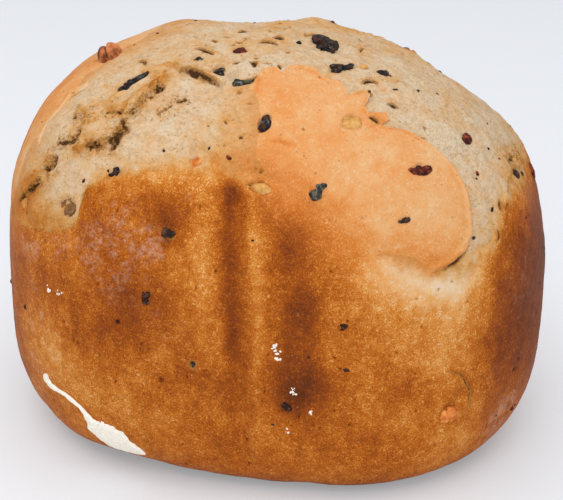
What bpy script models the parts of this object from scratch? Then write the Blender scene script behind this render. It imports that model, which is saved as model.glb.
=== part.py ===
"""A loaf of bread from a bread machine's pan: crumb, crusts, and the pieces mixed into the dough.

Metres, +Z up. The loaf stands on its base crust, with the origin under the middle of its box, its front
facing -Y and its length along X. A place on its outside is given by two angles seen from inside the loaf:
bearing (degrees round from the front, positive to the right) and rise (degrees above the loaf's middle).
"""

import math
import random

import bmesh
import bpy
import numpy as np
from mathutils import Matrix, Vector

# The pan's inside gives the loaf its length and depth.
LENGTH = 0.190
DEPTH = 0.142
HEIGHT = 0.144
WIDEST = 0.067  # height of the loaf's widest level, which every bearing and rise is seen from
PLAN_POWER = 2.5  # 2 is an oval plan, and more squares it up
DOME_POWER = 2.3
FOOT_POWER = 5.8
FOOT_DROP = 1.03  # the rounded foot would end this much lower, and the pan's floor flattens it
LEAN = -0.010  # the dough rose a little to the left

# Where the dough pressed out more or less than the plain form: bearing, rise, spread in degrees, height.
SWELLS = (
    (92, 0, 14, 0.0015),
    (103, 23, 11, 0.0019),
    (86, 13, 10, -0.0008),
    (112, 36, 13, -0.0024),
    (132, 58, 13, 0.0002),
    (140, 65.5, 5.5, 0.0022),
    (165, 68, 13, -0.0003),
    (-154, 68, 13, -0.0014),
    (-131, 64, 9, 0.0020),
    (-125, 58, 13, -0.0009),
    (-112, 54, 8, -0.0010),
    (-100, 40, 14, -0.0014),
    (-79, 23, 13, -0.0016),
    (-75, 5, 14, -0.0012),
    (-62, -29, 12, -0.0028),
    (-36, -42, 13, -0.0022),
    (-12, -42, 12, -0.0008),
    (34, -38, 13, 0.0015),
    (68, -28, 9, -0.0010),
    (82, -14, 12, 0.0017),
)
MIDDLE = Vector((-0.0010, 0.0002, WIDEST))  # puts the finished loaf's box over the origin

CRUST = 0.004
GAP = 0.0003
FLAP_LIFT = 0.001  # how far the loose skin stands off the torn top
FOOT_EDGE = 0.008  # height where the wall's crust turns into the base's

# A rib in the pan's wall leaves a groove, and the dough beside it a ridge: x, width, and how far it stands.
RIB_MARKS = ((-0.0015, 0.0030, -0.0016), (0.0042, 0.0024, 0.0009))
BACK_RIB_X = 0.022
RIB_TOP = 0.117
RIB_FOOT = 0.009
RIB_FADE = 0.011  # how far the marks take to fade in at each end

# Where the crust baked against the pan ends: bearing and height.
RIM = (
    (-180, 0.108),
    (-140, 0.104),
    (-100, 0.094),
    (-75, 0.085),
    (-60, 0.083),
    (-50, 0.089),
    (-42, 0.105),
    (-30, 0.113),
    (-10, 0.116),
    (6, 0.116),
    (20, 0.111),
    (32, 0.099),
    (44, 0.087),
    (56, 0.089),
    (75, 0.100),
    (92, 0.098),
    (130, 0.104),
)

# The smooth skin lifted off the torn top, and the older skin on the left shoulder: bearing and rise.
FLAP_OUTLINE = (
    (1, 48), (4, 60), (17, 67), (29, 65.5), (43, 66), (44, 59), (51, 53), (51, 46),
    (56, 38.5), (59, 29), (57.5, 19), (50, 4), (28, 4), (8, 14), (1, 28),
)
SHOULDER_OUTLINE = (
    (-64, 4), (-57, 27), (-54, 41), (-56, 54), (-65, 64), (-98, 70), (-131, 67),
    (-152, 52), (-151, 28), (-142, 4), (-103, -4),
)

# Flour that never mixed in, along the foot at the front left: bearing, rise and half width in degrees.
SEAM_LINE = (
    (-56, -21.5, 0.8), (-52, -22.8, 1.1), (-47.5, -24.6, 1.0), (-44, -27, 1.2), (-41.5, -30, 1.9),
    (-38.5, -33, 3.0), (-34.5, -35, 2.6), (-31.5, -36.3, 1.1),
)
SEAM_DEPTH = 0.0008
SEAM_PROUD = 0.0002
SEAM_CLEAR = 0.4  # degrees that its recess is wider each side

# The paddle stays in the pan and leaves its hole in the underside.
PADDLE_LENGTH = 0.017
PADDLE_WIDTH = 0.010
PADDLE_TAPER = ((-0.002, 1.0), (0.022, 0.85), (0.028, 0.5))  # heights, and the hole's share of its full size
PADDLE_SIDES = 16

# Pieces in the crust: bearing, rise, length, width, thickness, how far proud, and turn from level in degrees.
NUTS = {
    "nut_shoulder": (-76, 55.5, 9.0, 7.5, 7.0, 3.9, 10),
    "nut_foot_dimple": (49.5, -21.5, 6.5, 5.5, 3.6, 0.9, 20),
    "nut_back": (128, 43, 9.0, 6.5, 5.0, 2.2, -30),
}
OLIVES = {
    "olive_strip_left": (-46.5, 54.5, 12.5, 3.4, 3.0, 0.7, 78),
    "olive_top_left": (-28, 70, 4.4, 3.8, 2.6, 0.4, 20),
    "olive_top_middle": (-8.5, 67, 5.0, 5.0, 3.0, 1.0, -40),
    "olive_slice_top": (5, 63.5, 6.5, 3.0, 2.4, 1.2, 10),
    "olive_chip_skin": (12, 51, 6.8, 4.2, 3.0, 1.7, 62),
    "olive_cluster_top": (78, 69.5, 11.0, 8.5, 4.2, 1.6, 25),
    "olive_long_top": (60, 61, 11.5, 4.4, 3.2, 0.9, -10),
    "olive_top_right": (71.5, 54.5, 5.2, 3.2, 2.6, 0.5, -35),
    "olive_angular_skin": (23.5, 34, 5.4, 4.8, 2.8, 1.5, 35),
    "olive_small_skin": (41.5, 24.5, 4.6, 2.4, 2.4, 1.2, -5),
    "olive_right_edge": (80, 22.5, 4.6, 3.0, 2.6, 0.5, -55),
    "olive_tear_left": (-35, 33.5, 5.4, 3.6, 2.8, 0.4, 15),
    "olive_shoulder_front": (-45.5, 22, 7.0, 6.0, 3.2, 0.6, -25),
    "olive_wall_left": (-18.5, 23, 5.6, 3.8, 2.8, 0.4, -15),
    "olive_wall_low": (-24.5, 6, 6.0, 3.0, 2.6, 0.4, 75),
    "olive_wall_right": (25, 1.5, 3.8, 3.2, 2.4, 0.4, 30),
    "olive_wall_foot": (11, -21.5, 4.6, 4.0, 2.6, 0.2, 10),
    "olive_left_wall": (-104, 6, 5.0, 4.0, 2.6, 0.4, 20),
    "olive_back_wall": (164, 3, 6.0, 3.6, 2.6, 0.4, 30),
    "olive_back_top": (-168, 52, 7.0, 5.0, 3.0, 0.9, -20),
}
TOMATOES = {
    "tomato_long_skin": (50.5, 33, 8.0, 3.6, 2.8, 1.6, -18),
    "tomato_right": (70.5, 34, 5.6, 4.0, 2.6, 0.7, 10),
    "tomato_right_edge": (95, 17, 6.4, 3.8, 3.4, 1.2, 80),
    "tomato_top": (3, 77, 5.0, 3.4, 2.4, 0.6, 25),
    "tomato_curl_front": (-12, 41, 4.2, 3.0, 2.4, 0.6, 40),
    "tomato_back": (150, 32, 6.4, 4.0, 2.8, 0.8, -35),
}
ONIONS = {
    "onion_front": (7.5, 36, 7.0, 4.0, 3.0, 0.7, -10),
    "onion_skin": (41, 47, 8.0, 5.4, 2.8, 1.5, -15),
    "onion_top": (69, 58.5, 3.6, 3.2, 2.6, 0.8, 0),
    "onion_back": (-150, 22, 7.5, 5.0, 2.8, 0.6, 10),
}

# Where each crust has its rings of points, as fractions of the way up it.
BASE_STEPS = (0, 0.55, 0.75, 0.88, 1)
WALL_STEPS = (0, 0.14, 0.32, 0.52, 0.76, 1)
DOME_STEPS = (0, 0.18, 0.38, 0.6, 0.82, 1)
STEEPEST = 86.0  # rise of the last ring round the top and the bottom
RIB_COLUMN_STEP = 1.5
COLUMN_STEP = 7.5
CUTTER_REACH = 0.2
OPENING_GROWTH = 1.02  # how much wider than a skin its opening in the torn top is
POCKET_GAP = 0.0004
SHARPEST = math.radians(40)

COLOURS = {
    "crumb": ((0.78, 0.66, 0.46), 0.9),
    "wall": ((0.42, 0.17, 0.05), 0.6),
    "base": ((0.38, 0.17, 0.06), 0.65),
    "torn": ((0.74, 0.55, 0.34), 0.8),
    "skin": ((0.80, 0.42, 0.17), 0.5),
    "shoulder": ((0.76, 0.44, 0.20), 0.55),
    "flour": ((0.88, 0.86, 0.80), 0.95),
    "nut": ((0.30, 0.11, 0.05), 0.4),
    "olive": ((0.03, 0.028, 0.032), 0.35),
    "tomato": ((0.45, 0.13, 0.05), 0.4),
    "onion": ((0.62, 0.44, 0.20), 0.3),
}


def clear_scene():
    for thing in list(bpy.data.objects):
        bpy.data.objects.remove(thing, do_unlink=True)


def material(name):
    found = bpy.data.materials.get(name)
    if found:
        return found
    made = bpy.data.materials.new(name)
    made.use_nodes = True
    colour, roughness = COLOURS[name]
    shader = made.node_tree.nodes["Principled BSDF"]
    shader.inputs["Base Color"].default_value = (*colour, 1.0)
    shader.inputs["Roughness"].default_value = roughness
    shader.inputs["Metallic"].default_value = 0.0
    made.diffuse_color = (*colour, 1.0)
    return made


def add_object(name, mesh, material_name=None):
    """A solid of the loaf, or a hidden cutter where no material is named."""
    thing = bpy.data.objects.new(name, mesh)
    thing.location = MIDDLE
    bpy.context.scene.collection.objects.link(thing)
    if material_name is None:
        thing.hide_render = True
        thing.display_type = "WIRE"
        return thing
    mesh.materials.append(material(material_name))
    mesh.shade_smooth()
    mesh.set_sharp_from_angle(angle=SHARPEST)
    return thing


# The loaf's outside


def direction(bearing, rise):
    bearing, rise = np.radians(bearing), np.radians(rise)
    across = np.cos(rise)
    return np.stack([np.sin(bearing) * across, -np.cos(bearing) * across, np.sin(rise) + 0 * bearing], -1)


def reach(way):
    """How far the plain form lies from the loaf's middle, looking along each unit vector of way."""
    plan = np.abs(way[..., 0] / (LENGTH / 2)) ** PLAN_POWER + np.abs(way[..., 1] / (DEPTH / 2)) ** PLAN_POWER
    plan = plan ** (1 / PLAN_POWER)
    above = way[..., 2] >= 0
    power = np.where(above, DOME_POWER, FOOT_POWER)
    tall = np.where(above, HEIGHT - WIDEST, WIDEST * FOOT_DROP)
    return (plan**power + np.abs(way[..., 2] / tall) ** power) ** (-1 / power)


def swell(way):
    total = np.zeros(way.shape[:-1])
    for bearing, rise, spread, height in SWELLS:
        centre = direction(float(bearing), float(rise))
        apart = np.degrees(np.arccos(np.clip(way @ centre, -1, 1)))
        total += height * np.exp(-((apart / spread) ** 2))
    return total


def rib_mark(x, y, z):
    """How far the pan's ribs move the wall along Y: grooves on the front and the back, fading at the rim."""
    height = z + WIDEST
    fade = np.clip((RIB_TOP - height) / RIB_FADE, 0, 1) * np.clip((height - RIB_FOOT) / RIB_FADE, 0, 1)
    shift = np.zeros_like(x)
    for centre, width, proud in RIB_MARKS:
        shift -= np.where(y < 0, proud * np.exp(-(((x - centre) / width) ** 2)), 0)
        shift += np.where(y > 0, proud * np.exp(-(((x + centre - BACK_RIB_X) / width) ** 2)), 0)
    return shift * fade


def outside(bearing, rise, ribs=True):
    """Points on the loaf's outside, from its middle, with or without the marks of the pan's ribs."""
    way = direction(bearing, rise)
    points = way * (reach(way) + swell(way))[..., None]
    x, y, z = points[..., 0], points[..., 1], np.maximum(points[..., 2], -WIDEST)
    lean = LEAN * np.clip(z / (HEIGHT - WIDEST), 0, 1) ** 2
    shift = rib_mark(x, y, z) if ribs else 0
    return np.stack([x + lean, y + shift, z], -1)


def normal_at(bearing, rise, step=0.4):
    """Outward normals of the unmarked outside, from the points a little to each side."""
    across = outside(bearing + step, rise, False) - outside(bearing - step, rise, False)
    up = outside(bearing, rise + step, False) - outside(bearing, rise - step, False)
    normal = np.cross(across, up)
    return normal / np.linalg.norm(normal, axis=-1, keepdims=True)


def skin_point(bearing, rise, proud):
    """Points off the outside along its normal, upright at the poles. Inner ones have no rib marks."""
    bearing = np.asarray(bearing, float)
    rise = np.asarray(rise, float) + 0 * bearing
    if bearing.size == 1 and abs(float(rise.flat[0])) == 90:
        upright = np.array([0, 0, proud * math.copysign(1, float(rise.flat[0]))])
        return outside(bearing, rise) + upright
    return outside(bearing, rise, proud >= 0) + normal_at(bearing, rise) * proud


def rise_at_height(bearing, height):
    """The rise, at each bearing, where the outside is this high above the floor."""
    low = np.full_like(bearing, -89.0)
    high = np.full_like(bearing, 89.0)
    for _ in range(30):
        half = (low + high) / 2
        under = outside(bearing, half)[..., 2] + WIDEST < height
        low = np.where(under, half, low)
        high = np.where(under, high, half)
    return (low + high) / 2


def rim_height(bearing):
    places, heights = zip(*RIM)
    return np.interp(bearing, places + (180,), heights + (heights[0],))


def columns():
    """Bearings all round, closer together across the marks of the pan's ribs."""
    around = np.arange(-180, 180, COLUMN_STEP)
    fine = np.arange(-6, 9.1, RIB_COLUMN_STEP)
    back = 180 - math.degrees(math.atan2(BACK_RIB_X, DEPTH / 2))
    return np.unique(np.round(np.concatenate([around, fine, back - fine]), 2))


# Meshes


def mesh_from_rings(name, rings, loop=False):
    """A closed mesh through rings, ended by rings of one point or by joining the last to the first."""
    shape = bmesh.new()
    made = [[shape.verts.new(point) for point in ring] for ring in rings]
    pairs = list(zip(made, made[1:]))
    if loop:
        pairs.append((made[-1], made[0]))
    for first, second in pairs:
        count = max(len(first), len(second))
        for i in range(count):
            corners = [
                first[i % len(first)],
                first[(i + 1) % len(first)],
                second[(i + 1) % len(second)],
                second[i % len(second)],
            ]
            shape.faces.new(list(dict.fromkeys(corners)))
    bmesh.ops.triangulate(shape, faces=shape.faces, quad_method="SHORT_EDGE")
    bmesh.ops.recalc_face_normals(shape, faces=shape.faces)
    mesh = bpy.data.meshes.new(name)
    shape.to_mesh(mesh)
    shape.free()
    return mesh


def band(low, high, steps, proud):
    """Rings from the rises in low up to those in high, at these fractions of the way."""
    around = columns()
    return [skin_point(around, low + (high - low) * step, proud) for step in steps]


def pole(rise, proud):
    return skin_point(np.zeros(1), np.full(1, float(rise)), proud)


def foot_rise(shift=0.0):
    return rise_at_height(columns(), FOOT_EDGE + shift)


def rim_rise(shift=0.0):
    around = columns()
    return rise_at_height(around, rim_height(around) + shift)


def wall_mesh():
    low, high = foot_rise(GAP / 2), rim_rise(-GAP)
    rings = band(low, high, WALL_STEPS, 0.0) + band(low, high, WALL_STEPS, -CRUST)[::-1]
    return mesh_from_rings("wall_crust", rings, loop=True)


def dome_mesh(name, proud):
    """The whole top's shell, from the rim up. The torn top and the skins are cut out of it."""
    low = rim_rise(GAP)
    outer = band(low, STEEPEST, DOME_STEPS, proud) + [pole(90, proud)]
    inner = band(low, STEEPEST, DOME_STEPS, -CRUST) + [pole(90, -CRUST)]
    return mesh_from_rings(name, outer[::-1] + inner)


def base_mesh():
    high = foot_rise(-GAP / 2)
    outer = [pole(-90, 0.0)] + band(-STEEPEST, high, BASE_STEPS, 0.0)
    inner = [pole(-90, -CRUST)] + band(-STEEPEST, high, BASE_STEPS, -CRUST)
    return mesh_from_rings("base_crust", outer + inner[::-1])


def crumb_mesh():
    """The crumb fills the crusts, with rings where theirs are, so that the gap stays even."""
    inset = -(CRUST + 2 * GAP)
    rings = [pole(-90, inset)] + band(-STEEPEST, foot_rise(-GAP / 2), BASE_STEPS, inset)
    rings += band(foot_rise(GAP / 2), rim_rise(-GAP), WALL_STEPS, inset)
    rings += band(rim_rise(GAP), STEEPEST, DOME_STEPS, inset) + [pole(90, inset)]
    return mesh_from_rings("crumb", rings)


def wedge_mesh(name, outline, grow=1.0):
    """A pyramid from the loaf's middle out through an outline on its surface."""
    spots = np.array(outline, float)
    middle = spots.mean(axis=0)
    spots = middle + (spots - middle) * grow
    rim = direction(spots[:, 0], spots[:, 1]) * CUTTER_REACH
    tip = np.zeros((1, 3))
    cap = direction(middle[:1], middle[1:]) * CUTTER_REACH
    return mesh_from_rings(name, [tip, rim, cap])


def strip_mesh(name, line, top, bottom, grow=0.0):
    """A thin sheet along a line on the surface, from bottom to top along the normal."""
    spots = np.array(line, float)
    ahead = np.gradient(spots[:, :2], axis=0)
    side = np.stack([-ahead[:, 1], ahead[:, 0]], -1) / np.linalg.norm(ahead, axis=1, keepdims=True)
    left = spots[:, :2] + side * (spots[:, 2:] + grow)
    right = spots[:, :2] - side * (spots[:, 2:] + grow)
    edges = []
    for edge, proud in ((left, top), (right, top), (right, bottom), (left, bottom)):
        edges.append(skin_point(edge[:, 0], edge[:, 1], proud))
    rings = [np.array(ring) for ring in zip(*edges)]
    start = (rings[0] + (rings[0] - rings[1]) * grow).mean(axis=0)
    end = (rings[-1] + (rings[-1] - rings[-2]) * grow).mean(axis=0)
    return mesh_from_rings(name, [[start], *rings, [end]])


def paddle_mesh():
    """The slot that the kneading paddle leaves, narrower at its top, reaching below the floor."""
    rings = []
    for height, shrink in PADDLE_TAPER:
        ring = []
        for step in range(PADDLE_SIDES):
            turn = math.tau * (step + 0.5) / PADDLE_SIDES
            side = math.copysign((PADDLE_LENGTH - PADDLE_WIDTH) / 2, math.cos(turn))
            x = (side + PADDLE_WIDTH / 2 * math.cos(turn)) * shrink
            y = PADDLE_WIDTH / 2 * math.sin(turn) * shrink
            ring.append((x, y, height - WIDEST))
        rings.append(ring)
    floor = [(0, 0, PADDLE_TAPER[0][0] - WIDEST)]
    roof = [(0, 0, PADDLE_TAPER[-1][0] - WIDEST)]
    return mesh_from_rings("paddle_hole", [floor, *rings, roof])


def lump_mesh(name, size, rough, grow=0.0):
    """An irregular lump of the given length, width and thickness, the same for a name every time."""
    chance = random.Random(name)
    shape = bmesh.new()
    bmesh.ops.create_icosphere(shape, subdivisions=2, radius=0.5)
    for vert in shape.verts:
        vert.co *= 1 + rough * (chance.random() - 0.5)
        vert.co = Vector(side * (whole + 2 * grow) for side, whole in zip(vert.co, size))
    mesh = bpy.data.meshes.new(name)
    shape.to_mesh(mesh)
    shape.free()
    return mesh


# Sub-parts


def cut(target, cutter, operation="DIFFERENCE"):
    tool = target.modifiers.new(cutter.name, "BOOLEAN")
    tool.operation = operation
    tool.solver = "EXACT"
    if isinstance(cutter, bpy.types.Collection):
        tool.operand_type = "COLLECTION"
        tool.collection = cutter
    else:
        tool.object = cutter


def seat(bearing, rise, thickness, proud, turn):
    """Where a piece lies in the crust: x along its length, z out of the surface."""
    spot = np.array([float(bearing)]), np.array([float(rise)])
    out = Vector(normal_at(*spot)[0])
    level = Vector((math.cos(math.radians(bearing)), math.sin(math.radians(bearing)), 0))
    along = (level - out * level.dot(out)).normalized()
    along.rotate(Matrix.Rotation(math.radians(turn), 3, out))
    frame = Matrix((along, out.cross(along), out)).transposed().to_4x4()
    centre = Vector(outside(*spot)[0]) + out * (proud - thickness / 2)
    return Matrix.Translation(MIDDLE + centre) @ frame


def add_pieces(pieces, material_name, rough, pockets):
    """Each piece of a kind, and the pocket it sits in."""
    for name, (bearing, rise, length, width, thickness, proud, turn) in pieces.items():
        size = (length / 1000, width / 1000, thickness / 1000)
        place = seat(bearing, rise, size[2], proud / 1000, turn)
        piece = add_object(name, lump_mesh(name, size, rough), material_name)
        pocket = add_object(f"{name}_pocket", lump_mesh(name, size, rough, POCKET_GAP))
        piece.matrix_world = place
        pocket.matrix_world = place
        bpy.context.scene.collection.objects.unlink(pocket)
        pockets.objects.link(pocket)


def build():
    clear_scene()
    pockets = bpy.data.collections.new("pockets")
    bpy.context.scene.collection.children.link(pockets)
    add_pieces(NUTS, "nut", 0.16, pockets)
    add_pieces(OLIVES, "olive", 0.22, pockets)
    add_pieces(TOMATOES, "tomato", 0.24, pockets)
    add_pieces(ONIONS, "onion", 0.10, pockets)

    crumb = add_object("crumb", crumb_mesh(), "crumb")
    base = add_object("base_crust", base_mesh(), "base")
    wall = add_object("wall_crust", wall_mesh(), "wall")
    torn = add_object("torn_crust", dome_mesh("torn_crust", 0.0), "torn")
    flap = add_object("skin_flap", dome_mesh("skin_flap", FLAP_LIFT), "skin")
    shoulder = add_object("shoulder_skin", dome_mesh("shoulder_skin", FLAP_LIFT / 2), "shoulder")

    paddle = add_object("paddle_hole", paddle_mesh())
    cut(crumb, paddle)
    cut(base, paddle)

    for skin, outline in ((flap, FLAP_OUTLINE), (shoulder, SHOULDER_OUTLINE)):
        cut(skin, add_object(f"{skin.name}_wedge", wedge_mesh(skin.name, outline)), "INTERSECT")
        cut(torn, add_object(f"{skin.name}_opening", wedge_mesh(skin.name, outline, OPENING_GROWTH)))

    add_object("flour_seam", strip_mesh("flour_seam", SEAM_LINE, SEAM_PROUD, -SEAM_DEPTH), "flour")
    recess = strip_mesh("flour_recess", SEAM_LINE, CRUST, -SEAM_DEPTH - GAP, SEAM_CLEAR)
    cut(wall, add_object("flour_recess", recess))

    for host in (torn, flap, shoulder, wall):
        cut(host, pockets)


build()
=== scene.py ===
"""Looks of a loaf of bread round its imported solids: crusts, torn top, lifted skins, pieces in the dough.

Lengths are in millimetres until a mesh is made. A place on the loaf is given by two angles seen from inside
it: bearing (degrees round from the front, positive to the right) and rise (degrees above its widest level).
"""

import math
import random

import bmesh
import bpy
import numpy as np
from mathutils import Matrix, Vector


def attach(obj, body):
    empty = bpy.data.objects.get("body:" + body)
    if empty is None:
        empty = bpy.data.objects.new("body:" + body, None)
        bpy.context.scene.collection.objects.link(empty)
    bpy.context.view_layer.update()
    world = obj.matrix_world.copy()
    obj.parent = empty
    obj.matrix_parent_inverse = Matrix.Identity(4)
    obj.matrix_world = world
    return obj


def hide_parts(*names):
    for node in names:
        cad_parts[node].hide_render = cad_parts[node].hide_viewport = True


# The plain form: the same values as the solids are made with.
LENGTH = 190.0
DEPTH = 142.0
HEIGHT = 144.0
WIDEST = 67.0
PLAN_POWER = 2.5
DOME_POWER = 2.3
FOOT_POWER = 5.8
FOOT_DROP = 1.03
LEAN = -10.0
MIDDLE = np.array([-1.0, 0.2, WIDEST])
SWELLS = (
    (92, 0, 14, 1.5), (103, 23, 11, 1.9), (86, 13, 10, -0.8), (112, 36, 13, -2.4), (132, 58, 13, 0.2),
    (140, 65.5, 5.5, 2.2), (165, 68, 13, -0.3), (-154, 68, 13, -1.4), (-131, 64, 9, 2.0),
    (-125, 58, 13, -0.9), (-112, 54, 8, -1.0), (-100, 40, 14, -1.4), (-79, 23, 13, -1.6),
    (-75, 5, 14, -1.2), (-62, -29, 12, -2.8), (-36, -42, 13, -2.2), (-12, -42, 12, -0.8),
    (34, -38, 13, 1.5), (68, -28, 9, -1.0), (82, -14, 12, 1.7),
)
RIB_MARKS = ((-1.5, 3.0, -1.6), (4.2, 2.4, 0.9))
BACK_RIB_X = 22.0
RIB_TOP = 117.0
RIB_FOOT = 9.0
RIB_FADE = 11.0

# Where the pan-baked crust ends and the torn top starts: bearing and height.
RIM = (
    (-180, 108), (-140, 104), (-100, 92), (-75, 86), (-60, 87), (-53, 89.5), (-47.5, 92.5), (-42.4, 96),
    (-41, 107), (-38, 109), (-31, 112), (-22, 115), (-11, 116.5), (1.5, 116.5), (10.5, 115), (18.5, 113),
    (25, 108), (31, 100), (38, 90), (46, 83), (53.5, 85), (59.5, 90), (67.5, 101), (78.5, 100.5), (91, 97),
    (130, 104),
)
FOOT = 8.0
PADDLE_LENGTH = 17.0
PADDLE_WIDTH = 10.0

# Skins over the torn top: bearing, rise, and how far the edge stands off the top there.
FLAP_MIDDLE = (30, 44)
FLAP_OUTLINE = (
    (5, 52, -0.8), (5, 56, -0.6), (6, 60, -0.3), (8.5, 63.2, 0.2), (13, 65.8, 0.9), (19.5, 67.8, 1.4),
    (25.5, 67.9, 1.3), (28.4, 65.4, 0.5), (31, 66.4, 1.2), (36, 66.9, 1.3), (41.5, 65.8, 1.3),
    (45.5, 63.6, 1.3), (44.8, 61.2, 1.3), (47, 59, 1.2), (50, 57.8, 1.2), (49, 55.8, 1.2),
    (47.2, 53.4, 1.2), (51, 53.2, 1.6), (56.5, 52.2, 1.4), (53, 50.8, 0.9), (49.4, 49.6, 0.8),
    (48.8, 47.8, 0.8), (53.6, 46.2, 1.0), (53, 44.6, 0.7), (49.2, 44.4, 0.4), (51.5, 42.8, 0.5),
    (55, 41, 0.7), (57.2, 38, 0.9), (58.8, 35, 1.1), (59.5, 32, 1.2), (59.6, 28.5, 1.3), (59, 25, 1.3),
    (57.6, 21.5, 1.3), (56.2, 17.8, 1.2), (53.6, 15, 1.1), (50, 13, 0.8), (46, 12.4, 0.2), (40, 11, -0.8),
    (32, 14, -1.2), (21, 24, -1.4), (9, 34, -1.4), (0, 42, -1.2), (2, 48, -0.8),
)
SHOULDER_MIDDLE = (-100, 38)
SHOULDER_OUTLINE = (
    (-61, 8, -0.8), (-59, 16, -0.6), (-60, 22, -0.5), (-60, 27, -0.3), (-62, 31, 0.1), (-63, 35, 0.1),
    (-62, 39, 0.1), (-64, 43, 0.0), (-62, 47, -0.1), (-64, 51, -0.2), (-62, 55, -0.3), (-68, 60, -0.4),
    (-72, 65, -0.5), (-78, 69, -0.6), (-98, 71, -0.8), (-131, 68, -0.8), (-150, 55, 0.9), (-152, 32, 1.0),
    (-142, 14, -0.8), (-103, 4, -1.0), (-78, 2, -1.0),
)
SKINS = ((FLAP_OUTLINE, FLAP_MIDDLE, 1.0), (SHOULDER_OUTLINE, SHOULDER_MIDDLE, 0.85))  # and how orange

# Ragged holes where the top tore off the wall: a line of places, then half width and depth.
TEARS = (
    (((-62, 16), (-60, 19.5), (-57.5, 22.5), (-56, 25)), 0.8, 0.9),
    (((-55.8, 26), (-54, 28.5), (-54.5, 31)), 1.2, 1.5),
    (((-55, 33), (-53, 34.5), (-50, 36), (-51, 39)), 1.0, 1.1),
    (((-46, 35.5), (-43.5, 38), (-41, 38.3), (-39, 39), (-38, 42), (-36.5, 45)), 1.1, 1.5),
    (((-37.5, 43), (-38.3, 47), (-37.2, 51), (-35.8, 56), (-33.5, 60)), 0.75, 0.7),
    (((-56, 40), (-51.5, 41.5), (-49, 44)), 0.6, 0.5),
    (((-46, 45), (-42.5, 46.5), (-39.5, 47)), 0.6, 0.5),
    (((-30, 50), (-27, 53), (-24, 56), (-20, 58)), 0.45, 0.4),
    (((78, 25), (86, 24.5), (94, 21)), 0.9, 1.0),
    (((150, 22), (161, 26), (172, 24), (-178, 27), (-170, 25)), 1.2, 1.4),
)
RAGGED = 6.5  # how far round a tear its shreds and crumbs reach
# Steps where one side of a tear stands over the other: a line of places, the upper side's height and reach,
# and the lower side's depth and reach.
CLIFFS = (
    (((-62, 16), (-59, 20), (-56.5, 24.5), (-54.5, 28), (-55.5, 31.5), (-52, 34.5)), 0.8, 5.0, 0.8, 6.0),
    (((-49, 33.5), (-45.5, 35.5), (-42.5, 38.5), (-39.5, 39), (-37.5, 42), (-36, 45)), 1.1, 6.0, 1.2, 7.0),
    (((-36, 45), (-38, 48), (-36.8, 51), (-37.5, 55), (-36.5, 58), (-35, 62)), 0.8, 4.0, 1.2, 10.0),
    (((-40, 65.5), (-31, 65), (-22, 64.8), (-13, 63.6), (-4, 62)), 0.7, 5.0, 1.1, 9.0),
    (((-55, 40), (-51, 44), (-47, 48), (-46.5, 53)), 0.4, 4.0, 0.3, 4.0),
    (((64, 15), (68, 19), (72, 22), (79, 24), (88, 21)), 0.4, 5.0, 0.4, 5.0),
    (((150, 22), (161, 26), (172, 24), (-178, 27), (-170, 25)), 0.7, 6.0, 0.8, 8.0),
)
# Narrow splits: a line of places, half width, depth, and the height of the lip on its upper side.
SPLITS = (
    (((-36.5, 64.2), (-26.5, 65), (-20, 64.5), (-12, 63.5), (-4, 62.2)), 0.55, 1.0, 0.9),
    (((-41.5, 72.5), (-32, 74.2), (-16.5, 73)), 0.45, 0.6, 0.5),
    (((24.5, 80.5), (44, 80.2), (52, 77)), 0.75, 1.1, 0.5),
    (((65, 82.3), (67, 78)), 0.6, 0.8, 0.4),
    (((92.5, 75.2), (99.5, 72)), 0.5, 0.6, 0.4),
    (((-44, 87.2), (45, 88.5)), 0.5, 0.6, 0.4),
    (((56, 55), (60.5, 54.7), (64, 53)), 0.55, 0.8, 0.5),
    (((57, 48.7), (58.5, 47.2), (60.3, 46)), 0.6, 0.8, 0.5),
    (((10.5, 72.2), (14, 70.7), (14.3, 68.3)), 0.6, 0.8, 0.2),
    (((2.5, 62), (6, 63.2), (11.5, 64.6), (9.8, 62)), 0.6, 0.8, 0.3),
    (((-59, 60.5), (-53, 61.5), (-49, 60.5)), 0.4, 0.6, 0.4),
    (((46.3, 47.2), (47.7, 46), (48.8, 44.3)), 0.45, 0.6, 0.3),
    (((29.2, 68.8), (28.6, 66.4)), 0.3, 0.5, 0.2),
    (((53.5, 52.1), (56.5, 51.9)), 0.5, 0.6, 0.0),
    (((46.5, 12.2), (50.5, 13.7), (54.5, 14.9)), 0.5, 0.7, 0.3),
    (((67.2, 21.7), (66, 20.3), (66, 18.8)), 0.5, 0.7, 0.1),
    (((68.5, 20.2), (68.6, 18.8)), 0.4, 0.5, 0.1),
    (((61, 13.8), (63, 15.2), (62.5, 17.2)), 0.35, 0.5, 0.3),
    (((-20.2, 24.8), (-18.6, 22.7), (-16.3, 22.2)), 0.8, 0.8, 0.0),
    (((-13, -13), (-13.4, -9.8)), 0.95, 0.8, 0.0),
    (((45.5, -12.8), (49, -11.2), (52, -12.6), (54.2, -16.5), (54, -20.2), (51.5, -23.8)), 0.15, 0.5, 0.3),
    (((-150, 60), (-165, 63), (178, 62), (160, 58)), 0.8, 1.3, 0.7),
    (((120, 52), (128, 55), (139, 54)), 0.6, 0.9, 0.5),
)
# Small folds that stand up: a line of places, half width, height, and how much darker they are baked.
FOLDS = (
    (((25.5, 69.4), (27, 67.4), (28.2, 65.2)), 0.7, 0.3, -0.34),
    (((48, 52.4), (52, 53), (57, 52.2)), 0.8, 0.4, 0.16),
    (((-45.5, 62), (-42, 64.6), (-36, 65.6)), 0.8, 0.5, 0.18),
    (((-36.5, 60), (-39.5, 55), (-41, 50), (-41, 46)), 0.9, 0.3, 0.14),
    (((11, 46.6), (15.5, 46.5), (20.5, 45)), 0.9, 0.0, 0.16),
    (((62, 13.4), (64, 15.3), (63.4, 17.8)), 0.5, 0.3, 0.14),
    (((-58, 47), (-55, 50), (-50, 52)), 0.8, 0.3, 0.10),
)
SMALL_SPLITS = 110
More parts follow.
